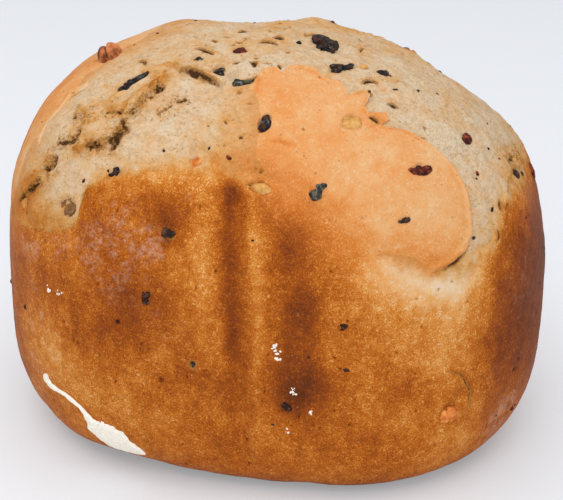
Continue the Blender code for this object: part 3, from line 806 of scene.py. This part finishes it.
def wall_crust(name, seats, front):
    """The front or the back part of the wall's crust. They share their end columns."""
    columns = denser_in_front(np.linspace(-180, 180, WALL_COLUMNS, endpoint=False))
    start, end = np.searchsorted(columns, WALL_SPLIT)
    columns = columns[start : end + 1] if front else np.concatenate([columns[end:], columns[: start + 1]])
    foot = rise_at_height(columns, 0 * columns + FOOT - OVERLAP)
    rim = rise_at_height(columns, rim_height(columns) + OVERLAP)
    share = np.linspace(0, 1, WALL_ROWS)[:, None]
    rise = (foot + (rim - foot) * share).ravel()
    bearing = np.tile(columns, WALL_ROWS)
    over = np.maximum(over_rim(plain(bearing, rise), bearing), 0)
    points, fields = raised(bearing, rise, seats, -0.3 * (over / OVERLAP) ** 2)
    faces = band_faces(WALL_ROWS, len(columns), False)
    return add_mesh(name, points, facing_out(points, faces), fields)


def base_crust(seats):
    """The underside, from the foot in to the paddle's hole."""
    columns = np.linspace(-180, 180, BASE_COLUMNS, endpoint=False)
    foot = rise_at_height(columns, 0 * columns + FOOT)
    hole = hole_rise(columns)
    share = np.linspace(0, 1, BASE_ROWS)[:, None]
    rise = (foot + (hole - foot) * share**0.8).ravel()
    bearing = np.tile(columns, BASE_ROWS)
    points, fields = raised(bearing, rise, seats)
    faces = band_faces(BASE_ROWS, BASE_COLUMNS, True)
    return add_mesh("base_crust_skin", points, facing_out(points, faces), fields)


def hole_rise(bearing):
    """The rise that meets the paddle's hole in the underside, at each bearing."""
    turn = np.radians(bearing)
    radius = 0.5 / np.hypot(np.sin(turn) / PADDLE_LENGTH, np.cos(turn) / PADDLE_WIDTH)
    return -np.degrees(np.arctan2(WIDEST, radius))


def skin(name, outline, middle, seats, lift):
    """A skin over the torn top, raised along its free edges, which roll over and tuck under."""
    ring, turn, faces = disc_grid(SKIN_RINGS)
    share = ring / SKIN_RINGS
    angle = np.radians(turn)
    radius, edge = outline_radius(outline, middle)(angle)
    east, north, out = local_axes(middle)
    out_by = (radius * share)[:, None]
    flat = np.cos(angle)[:, None] * out_by * east + np.sin(angle)[:, None] * out_by * north
    bearing, rise = angles(out + flat)
    rolled = np.sqrt(np.clip(1 - ((share - 0.955) / 0.045).clip(0, 1) ** 2, 0, 1))
    stand = lift + (edge - lift) * smooth(0.55, 0.95, share)
    bead = 0.35 * bell((share - 0.955) / 0.02) * (edge > 0)
    height = np.where(edge > 0, (stand + bead + 0.8) * rolled - 0.8, stand)
    points, fields = raised(bearing, rise, seats, height, skin=True)
    fields["skin"] = np.maximum(fields["skin"], 0.62 * smooth(0.5, 0.9, share) * smooth(0.0, 0.6, edge))
    fields["bake"] = fields["bake"] + 0.05 * bell((share - 0.90) / 0.03) * (edge > 0)
    return add_mesh(name, points, facing_out(points, faces), fields)


def flour_seam():
    """A crusted strip of unmixed flour, thin at one end and wide at the other."""
    spots = np.array(SEAM, float)
    steps = np.linspace(0, len(spots) - 1, SEAM_STEPS)
    line = np.stack([np.interp(steps, np.arange(len(spots)), spots[:, axis]) for axis in range(3)], -1)
    middle = plain(line[:, 0], line[:, 1])
    normal = outward(line[:, 0], line[:, 1])
    ahead = np.gradient(middle, axis=0)
    side = np.cross(normal, ahead)
    side /= np.linalg.norm(side, axis=1, keepdims=True)
    across = np.linspace(-1, 1, SEAM_ROWS)
    half = line[:, 2] * (1 + 0.14 * rough(middle, 2.4, 3, 161)) + 0.18 * rough(middle, 1.8, 2, 281)
    ends = np.sqrt(np.clip(np.sin(np.pi * np.linspace(0, 1, SEAM_STEPS)), 0, 1)).clip(0, 0.35) / 0.35
    spread = (half * ends)[:, None] * across
    flat = middle[:, None] + spread[..., None] * side[:, None]
    bearing, rise = angles(flat.reshape(-1, 3))
    height = 0.85 * (1 - np.abs(np.tile(across, SEAM_STEPS)) ** 4) - 0.20
    base = plain(bearing, rise)
    height += 0.12 * rough(base, 1.6, 3, 171)
    points = base + outward(bearing, rise) * height[:, None]
    points[:, 2] = np.maximum(points[:, 2], -WIDEST)
    faces = band_faces(SEAM_STEPS, SEAM_ROWS, False)
    return add_mesh("flour_seam_crust", points, facing_out(points, faces))


# Pieces in the dough


def seat_of(name, node):
    """Where a piece's solid lies: its centre, its own axes with the last one outwards, and its half sizes."""
    corners = np.array([vertex.co for vertex in node.data.vertices]) * 1000 - MIDDLE
    centre = (corners.max(0) + corners.min(0)) / 2
    _, axes = np.linalg.eigh(np.cov((corners - centre).T))
    axes = axes[:, ::-1]
    axes[:, 2] *= np.sign(axes[:, 2] @ centre)
    level = np.cross([0, 0, 1.0], axes[:, 2])
    axes[:, 0] *= np.sign(axes[:, 0] @ level)
    if kind_of(name) == "nut":
        axes[:, 0] = np.array([1.0, 0, 0]) - axes[0, 2] * axes[:, 2]
        axes[:, 0] /= np.linalg.norm(axes[:, 0])
    axes[:, 1] = np.cross(axes[:, 2], axes[:, 0])
    spans = (corners - centre) @ axes
    centre = centre + axes @ ((spans.max(0) + spans.min(0)) / 2)
    half = (spans.max(0) - spans.min(0)) / 2
    return {"name": name, "centre": centre, "axes": axes, "half": half, "foot": centre + axes[:, 2] * half[2]}


def ball(subdivisions, radius):
    """A ball's points and faces, to be shaped."""
    mesh = bmesh.new()
    bmesh.ops.create_icosphere(mesh, subdivisions=subdivisions, radius=radius)
    points = np.array([vert.co for vert in mesh.verts])
    faces = np.array([[vert.index for vert in face.verts] for face in mesh.faces])
    mesh.free()
    return points, faces


def lump(name, seat, shape):
    """A piece of this shape, filling its solid's place."""
    unit, faces = ball(5 if seat["half"][0] > 3 else 4, 1.0)
    seed = sum(ord(letter) for letter in name)
    local = shape(unit, seat["half"], seed)
    points = seat["centre"] + local @ seat["axes"].T
    wrinkle = np.linalg.norm(local / seat["half"], axis=1)
    # fold: how far a point lies inward. The nut's material paints shade there.
    fields = {"fold": 1.2 - wrinkle, "side": unit[:, 0]}
    return add_mesh(name, points, facing_out(points - seat["centre"], faces), fields)


def olive_shape(unit, half, seed):
    """A dried, blocky, ragged scrap."""
    block = unit / (np.abs(unit) ** 3).sum(-1, keepdims=True) ** 0.33
    spots = unit * half + seed
    creases = ridged(spots, 2.0, 3, seed)
    grow = 0.93 + 0.42 * rough(spots, 3.4, 2, seed + 5) + 0.24 * noise(spots, 1.2, seed + 9)
    grow -= 0.34 * smooth(0.8, 1.0, creases)
    return block * half * np.clip(grow, 0.5, 1.25)[:, None]


def nut_shape(unit, half, seed):
    """Two lobes with a cleft between them, the first one wrinkled."""
    spots = unit * half + seed
    cleft = bell((unit[:, 0] + 0.2 * unit[:, 1] + 0.12) / 0.17)
    wrinkles = smooth(0.8, 1, ridged(spots, 2.2, 2, seed)) * smooth(0.0, -0.3, unit[:, 0])
    grow = 1.12 - 0.28 * cleft + 0.08 * rough(spots, 3.6, 2, seed) - 0.12 * wrinkles
    return unit * half * grow[:, None]


def tomato_shape(unit, half, seed):
    """A curled, crinkled strip."""
    spots = unit * half + seed
    wrinkles = smooth(0.78, 1, ridged(spots * [0.6, 1, 1], 1.8, 2, seed))
    grow = 0.95 + 0.22 * rough(spots, 2.6, 3, seed) - 0.28 * wrinkles
    bent = unit * half * grow[:, None]
    bent[:, 1] += 0.12 * half[0] * (unit[:, 0] ** 2 - 0.5)
    return bent


def onion_shape(unit, half, seed):
    """A smooth, low dome with a few soft folds."""
    spots = unit * half + seed
    grow = 0.97 + 0.10 * rough(spots, 4.0, 2, seed)
    folds = 0.05 * np.sin(unit[:, 0] * 6 + 2 * noise(spots, 4, seed))
    return unit * half * (grow + folds)[:, None]


SHAPES = {"olive": olive_shape, "nut": nut_shape, "tomato": tomato_shape, "onion": onion_shape}


def small_lump(chance, spot, along, out, length, width):
    """A rough little lump as points and faces, lying in the surface."""
    unit, faces = ball(2, 0.5)
    unit *= 1 + 0.35 * (np.array([chance.random() for _ in unit])[:, None] - 0.5)
    across = np.cross(out, along)
    size = np.array([length, width, min(length, width) * 0.8])
    points = spot + unit * size @ np.stack([along, across, out])
    return points, faces


def scatter_lumps(name, places, seats):
    """Many little lumps as one mesh."""
    chance = random.Random(name)
    bearing, rise = (np.array([place[axis] for place in places], float) for axis in (0, 1))
    spots, _ = raised(bearing, rise, seats)
    out = outward(bearing, rise)
    all_points, all_faces, count = [], [], 0
    for (_, _, length, width, turned), spot, normal in zip(places, spots, out):
        level = np.cross(np.array([0, 0, 1.0]), normal)
        level /= max(np.linalg.norm(level), 1e-6)
        up = np.cross(normal, level)
        turn = math.radians(turned)
        along = level * math.cos(turn) + up * math.sin(turn)
        points, faces = small_lump(chance, spot - normal * SUNK, along, normal, length, width)
        all_points.append(points)
        all_faces.append(faces + count)
        count += len(points)
    points = np.concatenate(all_points)
    return add_mesh(name, points, np.concatenate(all_faces), {"fold": np.zeros(len(points))})


def crumbled(places):
    """Each listed crumb as a cluster of smaller ones."""
    chance = random.Random("crumbled")
    made = []
    for bearing, rise, length, width, _ in places:
        for _ in range(6):
            size = width * chance.uniform(0.4, 0.8)
            right = length * chance.gauss(0, 0.28)
            up = length * chance.gauss(0, 0.28)
            made.append((bearing + right, rise + up, size * 1.4, size, chance.uniform(0, 180)))
    return made


def bit_places(kind):
    """The listed bits of a kind, and more scattered over the sides that they don't reach."""
    chance = random.Random(kind)
    places = [spot[:5] for spot in BITS if spot[5] == kind]
    for _ in range(SCATTERED_BITS):
        bearing = chance.uniform(62, 290)
        bearing = bearing - 360 if bearing > 180 else bearing
        rise = chance.uniform(-30, 78)
        length = chance.uniform(0.7, 2.2)
        places.append((bearing, rise, length, length * chance.uniform(0.5, 0.9), chance.uniform(0, 180)))
    return places


# Materials


class Value:
    """A number that a material's nodes work out. Sums with it add their own nodes."""

    def __init__(self, tree, socket):
        self.tree = tree
        self.socket = socket

    def __add__(self, other):
        return self.tree.math("ADD", self, other)

    def __sub__(self, other):
        return self.tree.math("SUBTRACT", self, other)

    def __rsub__(self, other):
        return self.tree.math("SUBTRACT", other, self)

    def __mul__(self, other):
        return self.tree.math("MULTIPLY", self, other)


class Tree:
    """A material's nodes, made and joined in one line each."""

    def __init__(self, name):
        self.material = bpy.data.materials.new(name)
        self.material.use_nodes = True
        self.nodes = self.material.node_tree.nodes
        self.links = self.material.node_tree.links
        self.shader = self.nodes["Principled BSDF"]
        self.shader.inputs["Specular IOR Level"].default_value = 0.06
        self.place = self.nodes.new("ShaderNodeTexCoord").outputs["Object"]

    def put(self, value, socket):
        """Joins a value or colour to a socket, or sets a plain one on it."""
        if isinstance(value, Value):
            value = value.socket
        if isinstance(value, bpy.types.NodeSocket):
            self.links.new(value, socket)
        else:
            socket.default_value = value

    def field(self, name):
        node = self.nodes.new("ShaderNodeAttribute")
        node.attribute_name = name
        return Value(self, node.outputs["Fac"])

    def noise(self, size, detail=3.0, roughness=0.5, distortion=0.0, squash=(1, 1, 1)):
        """Noise with features about this size in millimetres."""
        mapping = self.nodes.new("ShaderNodeMapping")
        self.links.new(self.place, mapping.inputs["Vector"])
        mapping.inputs["Scale"].default_value = squash
        node = self.nodes.new("ShaderNodeTexNoise")
        self.links.new(mapping.outputs["Vector"], node.inputs["Vector"])
        node.inputs["Scale"].default_value = 1000 / size
        node.inputs["Detail"].default_value = detail
        node.inputs["Roughness"].default_value = roughness
        node.inputs["Distortion"].default_value = distortion
        return Value(self, node.outputs["Fac"])

    def warped(self, size, amount):
        """Coordinates pushed about by noise of this size, by this many millimetres."""
        node = self.nodes.new("ShaderNodeTexNoise")
        self.links.new(self.place, node.inputs["Vector"])
        node.inputs["Scale"].default_value = 1000 / size
        node.inputs["Detail"].default_value = 2.0
        less = self.vector("SUBTRACT", node.outputs["Color"], (0.5, 0.5, 0.5))
        more = self.vector("SCALE", less, scale=amount / 1000)
        return self.vector("ADD", self.place, more)

    def squiggles(self, size, length, squash=(1, 1, 1)):
        """Short, thin, wandering lines: where noise passes through its middle, broken up by finer noise."""
        away = self.math("ABSOLUTE", self.noise(size, 1.5, 0.5, 0.6, squash) - 0.5)
        return self.between(away, 0.035, 0.008) * self.between(self.noise(length, 1), 0.46, 0.60)

    def vector(self, operation, first, second=None, scale=None):
        node = self.nodes.new("ShaderNodeVectorMath")
        node.operation = operation
        self.put(first, node.inputs[0])
        if second is not None:
            self.put(second, node.inputs[1])
        if scale is not None:
            node.inputs["Scale"].default_value = scale
        return node.outputs["Vector"]

    def cells(self, size, coordinates=None):
        """How far each place is from the nearest of many scattered ones about this far apart."""
        node = self.nodes.new("ShaderNodeTexVoronoi")
        self.links.new(coordinates or self.place, node.inputs["Vector"])
        node.inputs["Scale"].default_value = 1000 / size
        return Value(self, node.outputs["Distance"])

    def math(self, operation, first, second=0.0):
        node = self.nodes.new("ShaderNodeMath")
        node.operation = operation
        self.put(first, node.inputs[0])
        self.put(second, node.inputs[1])
        return Value(self, node.outputs[0])

    def between(self, value, low, high, low_to=0.0, high_to=1.0):
        """The value moved from one range to another, smoothly and no further."""
        node = self.nodes.new("ShaderNodeMapRange")
        node.interpolation_type = "SMOOTHSTEP"
        for socket, given in zip(node.inputs, (value, low, high, low_to, high_to)):
            self.put(given, socket)
        return Value(self, node.outputs[0])

    def ramp(self, value, colours):
        node = self.nodes.new("ShaderNodeValToRGB")
        stops = node.color_ramp.elements
        while len(stops) < len(colours):
            stops.new(0.5)
        for stop, (position, colour) in zip(stops, colours):
            stop.position = position
            stop.color = (*linear(colour), 1)
        self.put(value, node.inputs["Fac"])
        return node.outputs["Color"]

    def mix(self, share, first, second, blend="MIX"):
        node = self.nodes.new("ShaderNodeMix")
        node.data_type = "RGBA"
        node.blend_type = blend
        self.put(share, node.inputs[0])
        self.put(first, node.inputs[6])
        self.put(second, node.inputs[7])
        return node.outputs[2]

    def bump(self, height, distance, strength):
        node = self.nodes.new("ShaderNodeBump")
        node.inputs["Strength"].default_value = strength
        node.inputs["Distance"].default_value = distance / 1000
        self.put(height, node.inputs["Height"])
        return node.outputs["Normal"]

    def finish(self, colour, roughness, normal):
        self.put(colour, self.shader.inputs["Base Color"])
        self.put(roughness, self.shader.inputs["Roughness"])
        self.put(normal, self.shader.inputs["Normal"])
        return self.material


def rgb(*colour):
    return (*linear(colour), 1)


def baked_colour(tree, fields, grain, mottle):
    """From pale to nearly burnt, mottled and grainy, and more orange on the smooth skins."""
    blotch = tree.noise(7.0, 3, 0.55, 0.4, (1.0, 1.0, 0.55))
    strength = tree.between(fields["bake"], 0.22, 0.6, 0.26, 0.78)
    wobble = (grain - 0.5) * strength + (mottle - 0.5) * 0.34 + (blotch - 0.5) * 0.30
    baked = fields["bake"] + wobble * (1.0 - fields["skin"] * 0.42)
    threads = tree.math("MAXIMUM", tree.squiggles(1.7, 1.2), tree.squiggles(1.1, 0.8))
    baked = baked - threads * (1.0 - fields["torn"]) * 0.18
    return tree.mix(fields["skin"], tree.ramp(baked, CRUST_COLOURS), tree.ramp(baked, SKIN_COLOURS))


def speckled(tree, colour):
    """The colour with pale specks and fine holes filled with painted shade, and where the holes are."""
    specks = tree.between(tree.cells(1.7), 0.26, 0.12) * tree.between(tree.noise(5, 2), 0.45, 0.7)
    colour = tree.mix(specks * 0.14, colour, rgb(240, 205, 150))
    holes = tree.between(tree.cells(2.1, tree.warped(1.2, 0.8)), 0.15, 0.05)
    holes = holes * tree.between(tree.noise(9, 3), 0.45, 0.62)
    # Painted shade fills the fine holes.
    return tree.mix(holes * 0.6, colour, rgb(120, 70, 36)), holes


def dusted(tree, colour, dust, grain):
    """The colour under flecks of flour, and where the flour is."""
    powder = tree.between(tree.noise(1.8, 5, 0.8) + dust * 0.16, 0.50, 0.76)
    powder = powder * tree.between(dust, 0.03, 0.5) * tree.between(grain, 0.32, 0.55, 0.35, 1.0)
    return tree.mix(powder * 0.44, colour, rgb(216, 178, 156)), powder


def pitted(tree, colour, fields):
    """The colour with painted shade in pits, dents, pores and seats, and along the wall's fine dashes."""
    # Painted shade: the darker colour stands in for the shade inside hollows.
    shade = tree.ramp(fields["painted_shade"], ((0.0, (255, 255, 255)), (0.5, (190, 158, 116)), (1.0, (56, 40, 26))))
    colour = tree.mix(1.0, colour, shade, "MULTIPLY")
    # Dark dashes: painted shade of the wall's fine pits.
    dashes = tree.squiggles(1.0, 1.0, (0.6, 0.6, 1.2)) * fields["pitted"]
    return tree.mix(dashes * 0.8, colour, rgb(84, 44, 20))


def crumbly(tree, colour, fields, crumbs):
    """The colour with painted shade between the crumbs and strands of the torn top, most of all round its
    tears, and painted shade following its relief.
    """
    edge = fields["ragged"] * 0.085 + 0.375
    shade = tree.between(crumbs, edge, edge - 0.06) * fields["torn"]
    colour = tree.mix(shade * 0.75, colour, rgb(128, 92, 48))
    # Painted shade standing in for the shading of the torn top's relief.
    relief = tree.between(tree.noise(2.6, 5, 0.75, 1.5, (1.0, 1.0, 1.6)), 0.56, 0.36) * fields["torn"]
    return tree.mix(relief * 0.42, colour, rgb(176, 132, 78))


def gaping(tree, colour, fields):
    """The colour with sharp, ragged gaps cut along the soft tears and splits: ochre edges, partly baked
    colour and partly painted shade, round dark middles of painted shade. Also gives where the dark middles
    are.
    """
    jagged, frayed = tree.noise(1.4, 5, 0.7, 1.0), tree.noise(0.8, 3, 0.6)
    tear = (fields["tear"] + (jagged - 0.5) * 2.0) * tree.between(fields["tear"], 0.0, 0.35)
    split = fields["slit"] * 1.12 + (frayed - 0.5) * 0.5
    gap = tree.math("MAXIMUM", tear, split)
    colour = tree.mix(tree.between(gap, 0.44, 0.66, 0.0, 0.75), colour, rgb(160, 110, 52))
    # Painted shade in the depth of each gap.
    gap_shade = tree.between(gap, 0.76, 0.94)
    return tree.mix(gap_shade * 0.9, colour, rgb(62, 38, 20)), gap_shade


def crust_material(name):
    """Bread crust, whose colour and relief follow the fields of its mesh."""
    tree = Tree(name)
    fields = {field: tree.field(field) for field in CRUST_FIELDS}
    grain, mottle, crumbs = tree.noise(0.55, 3, 0.75), tree.noise(3.2, 4, 0.6), tree.noise(1.3, 4, 0.7, 0.3)
    colour = baked_colour(tree, fields, grain, mottle)
    colour, holes = speckled(tree, colour)
    colour, powder = dusted(tree, colour, fields["dust"], grain)
    colour = pitted(tree, colour, fields)
    colour = crumbly(tree, colour, fields, crumbs)
    colour, gap_shade = gaping(tree, colour, fields)
    fine = grain * 0.6 + mottle * 0.5 + tree.noise(0.45, 2, 0.6) * 0.35
    fine = fine + crumbs * fields["torn"] * 1.1 - holes * 0.6 - gap_shade * 1.5
    normal = tree.bump(fine * (fields["torn"] * 2.3 + 0.45), 0.30, 0.8)
    return tree.finish(colour, fields["torn"] * 0.16 + powder * 0.2 + 0.56, normal)


def flour_material():
    tree = Tree("flour")
    grain = tree.noise(0.7, 3, 0.6)
    colour = tree.mix(tree.between(grain, 0.35, 0.7), rgb(238, 230, 214), rgb(250, 246, 236))
    return tree.finish(colour, 0.9, tree.bump(grain + tree.noise(2.0, 3), 0.2, 0.6))


def olive_material(name, dark, pale, brown):
    """Dried olive: dark, with paler worn patches, brown ones and a few painted glints."""
    tree = Tree(name)
    patch = tree.noise(1.6, 3, 0.6)
    colour = tree.mix(tree.between(patch, 0.48, 0.74), dark, pale)
    colour = tree.mix(tree.between(tree.noise(2.4, 3), 0.48, 0.66), colour, brown)
    # Painted highlights: small bright glints.
    glint = tree.between(tree.cells(0.9), 0.22, 0.08) * tree.between(tree.noise(2.2, 2), 0.5, 0.62)
    colour = tree.mix(glint * 0.55, colour, rgb(176, 174, 172))
    normal = tree.bump(tree.noise(0.6, 3) * 0.5 + patch, 0.35, 0.9)
    return tree.finish(colour, tree.between(patch, 0.3, 0.7, 0.36, 0.65), normal)


def nut_material():
    """Brown and wrinkled on one lobe, orange and glossy on the other, with painted shade in its creases."""
    tree = Tree("nut")
    lobe = tree.noise(4.0, 3, 0.55) + tree.between(tree.field("side"), -0.25, 0.25) * 0.26
    colour = tree.ramp(lobe, ((0.40, (66, 40, 28)), (0.56, (122, 68, 38)), (0.74, (206, 124, 76))))
    # Painted shade darkens the creases and the cleft, where the lump's points lie inward.
    colour = tree.mix(tree.between(tree.field("fold"), 0.22, 0.45), colour, rgb(66, 38, 26))
    normal = tree.bump(tree.noise(0.7, 3) * 0.5 + tree.noise(1.8, 3), 0.3, 0.8)
    return tree.finish(colour, tree.between(lobe, 0.4, 0.7, 0.5, 0.28), normal)


def tomato_material():
    """Dried tomato: nearly black to brick red, with a slight gloss."""
    tree = Tree("tomato")
    patch = tree.noise(1.8, 3, 0.6)
    colour = tree.ramp(patch, ((0.34, (44, 22, 22)), (0.52, (92, 40, 30)), (0.72, (168, 84, 46))))
    normal = tree.bump(tree.noise(0.6, 3) * 0.5 + tree.noise(1.4, 3), 0.3, 0.9)
    return tree.finish(colour, tree.between(patch, 0.3, 0.7, 0.32, 0.5), normal)


def onion_material(name, dark, middle, pale):
    """Fried onion or anything as smooth, in three colours."""
    tree = Tree(name)
    patch = tree.noise(2.6, 3, 0.6)
    colour = tree.ramp(patch, ((0.30, dark), (0.50, middle), (0.70, pale)))
    normal = tree.bump(tree.noise(0.9, 2) * 0.4 + patch, 0.25, 0.7)
    return tree.finish(colour, tree.between(patch, 0.3, 0.7, 0.3, 0.5), normal)


def crumb_material():
    """The porous inside, with painted shade in its pores."""
    tree = Tree("crumb")
    cells = tree.cells(2.2, tree.warped(2, 1.4))
    colour = tree.mix(tree.between(cells, 0.15, 0.5), rgb(176, 138, 92), rgb(224, 200, 160))
    height = tree.noise(0.8, 3) * 0.4 + tree.between(cells, 0.1, 0.5)
    return tree.finish(colour, 0.85, tree.bump(height, 0.7, 0.9))


# Studio


def floor_material():
    tree = Tree("studio_paper")
    speck = tree.noise(1.5, 2)
    colour = tree.mix(speck, rgb(206, 208, 212), rgb(208, 210, 214))
    tree.shader.inputs["Emission Color"].default_value = (0.96, 0.98, 1.0, 1)
    tree.shader.inputs["Emission Strength"].default_value = FLOOR_GLOW
    return tree.finish(colour, 0.8, tree.bump(speck, 0.02, 0.3))


def studio():
    bpy.ops.mesh.primitive_plane_add(size=8.0, location=(0, 1.5, 0))
    floor = bpy.context.object
    floor.name = "studio_floor"
    floor.data.materials.append(floor_material())
    world = bpy.data.worlds.new("studio_world")
    world.use_nodes = True
    sky = world.node_tree.nodes["Background"]
    sky.inputs["Color"].default_value = (0.96, 0.97, 1.0, 1)
    sky.inputs["Strength"].default_value = WORLD_LIGHT
    bpy.context.scene.world = world
    for lamp in LAMPS:
        add_area(*lamp)


def add_area(name, location, size, power):
    """A soft square lamp, aimed at the loaf."""
    lamp = bpy.data.lights.new(name, "AREA")
    lamp.size = size
    lamp.energy = power
    thing = bpy.data.objects.new(name, lamp)
    thing.location = location
    aim = Vector((0, 0, 0.06)) - Vector(location)
    thing.rotation_euler = aim.to_track_quat("-Z", "Y").to_euler()
    bpy.context.scene.collection.objects.link(thing)


def camera():
    azimuth, elevation = math.radians(CAMERA_AZIMUTH), math.radians(CAMERA_ELEVATION)
    back = Vector(
        (
            math.sin(azimuth) * math.cos(elevation),
            -math.cos(azimuth) * math.cos(elevation),
            math.sin(elevation),
        )
    )
    lens = bpy.data.cameras.new("camera")
    lens.lens = CAMERA_LENS
    lens.sensor_width = SENSOR
    lens.shift_x, lens.shift_y = CAMERA_SHIFT
    lens.clip_start = 0.01
    thing = bpy.data.objects.new("camera", lens)
    thing.location = Vector(CAMERA_TARGET) + back * CAMERA_DISTANCE
    thing.rotation_euler = (-back).to_track_quat("-Z", "Y").to_euler()
    bpy.context.scene.collection.objects.link(thing)
    bpy.context.scene.camera = thing
    bpy.context.scene.view_settings.view_transform = "Standard"


# The loaf


def kind_of(node_name):
    return node_name.split("_")[0]


def place(piece, material, slot, *nodes):
    """Puts a finished piece on the loaf, standing for these nodes."""
    piece.data.materials.append(material)
    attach(piece, "root")
    if nodes:
        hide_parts(*nodes)


def piece_materials():
    return {
        "olive": olive_material("olive", rgb(32, 27, 26), rgb(92, 88, 88), rgb(74, 48, 36)),
        "baked_olive": olive_material("baked_olive", rgb(46, 31, 25), rgb(112, 82, 66), rgb(104, 60, 34)),
        "veiled_olive": olive_material("veiled_olive", rgb(112, 80, 50), rgb(168, 132, 92), rgb(148, 98, 52)),
        "grey_olive": olive_material("grey_olive", rgb(46, 46, 42), rgb(150, 152, 146), rgb(96, 88, 66)),
        "nut": nut_material(),
        "tomato": tomato_material(),
        "onion": onion_material("onion", (166, 114, 50), (202, 148, 80), (222, 178, 116)),
        "pepper": onion_material("pepper", (168, 84, 34), (212, 124, 58), (232, 164, 92)),
    }


def crusts(seats):
    place(wall_crust("wall_crust_front", seats, True), crust_material("wall"), "pan_crust", "wall_crust")
    place(wall_crust("wall_crust_back", seats, False), crust_material("wall_back"), "pan_crust", "wall_crust")
    place(torn_crust(seats), crust_material("torn"), "torn_crust", "torn_crust")
    place(base_crust(seats), crust_material("base"), "base_crust", "base_crust")
    flap = skin("skin_flap_top", FLAP_OUTLINE, FLAP_MIDDLE, seats, 0.9)
    place(flap, crust_material("flap"), "dough_skin", "skin_flap")
    shoulder = skin("shoulder_skin_top", SHOULDER_OUTLINE, SHOULDER_MIDDLE, seats, 0.6)
    place(shoulder, crust_material("shoulder"), "shoulder_skin", "shoulder_skin")
    flour = flour_material()
    place(flour_seam(), flour, "flour", "flour_seam")
    place(scatter_lumps("flour_crumbs", crumbled(FLOUR_CRUMBS), seats), flour, "flour")


def loaf(nodes):
    """Every surface of the loaf. The crumb keeps its solid's mesh, as it shows only in the paddle's hole."""
    seats = [seat_of(name, nodes[name]) for name in sorted(nodes) if kind_of(name) in SHAPES]
    crusts(seats)
    materials = piece_materials()
    for seat in seats:
        name, kind = seat["name"], kind_of(seat["name"])
        look = LOOKS.get(name, "baked_olive" if "wall" in name else kind)
        place(lump(f"{name}_piece", seat, SHAPES[kind]), materials[look], kind, name)
    for kind in ("olive", "tomato"):
        place(scatter_lumps(f"{kind}_bits", bit_places(kind), seats), materials[kind], kind)
    nodes["crumb"].data.materials.clear()
    nodes["crumb"].data.materials.append(crumb_material())


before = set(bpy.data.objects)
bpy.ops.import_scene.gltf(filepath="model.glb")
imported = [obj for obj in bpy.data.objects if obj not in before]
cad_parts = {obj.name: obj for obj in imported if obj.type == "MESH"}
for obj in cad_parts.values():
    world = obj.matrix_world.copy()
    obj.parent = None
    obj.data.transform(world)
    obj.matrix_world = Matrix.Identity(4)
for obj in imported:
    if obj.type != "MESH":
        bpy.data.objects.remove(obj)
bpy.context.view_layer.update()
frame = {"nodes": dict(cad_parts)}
camera()
studio()
loaf(frame["nodes"])
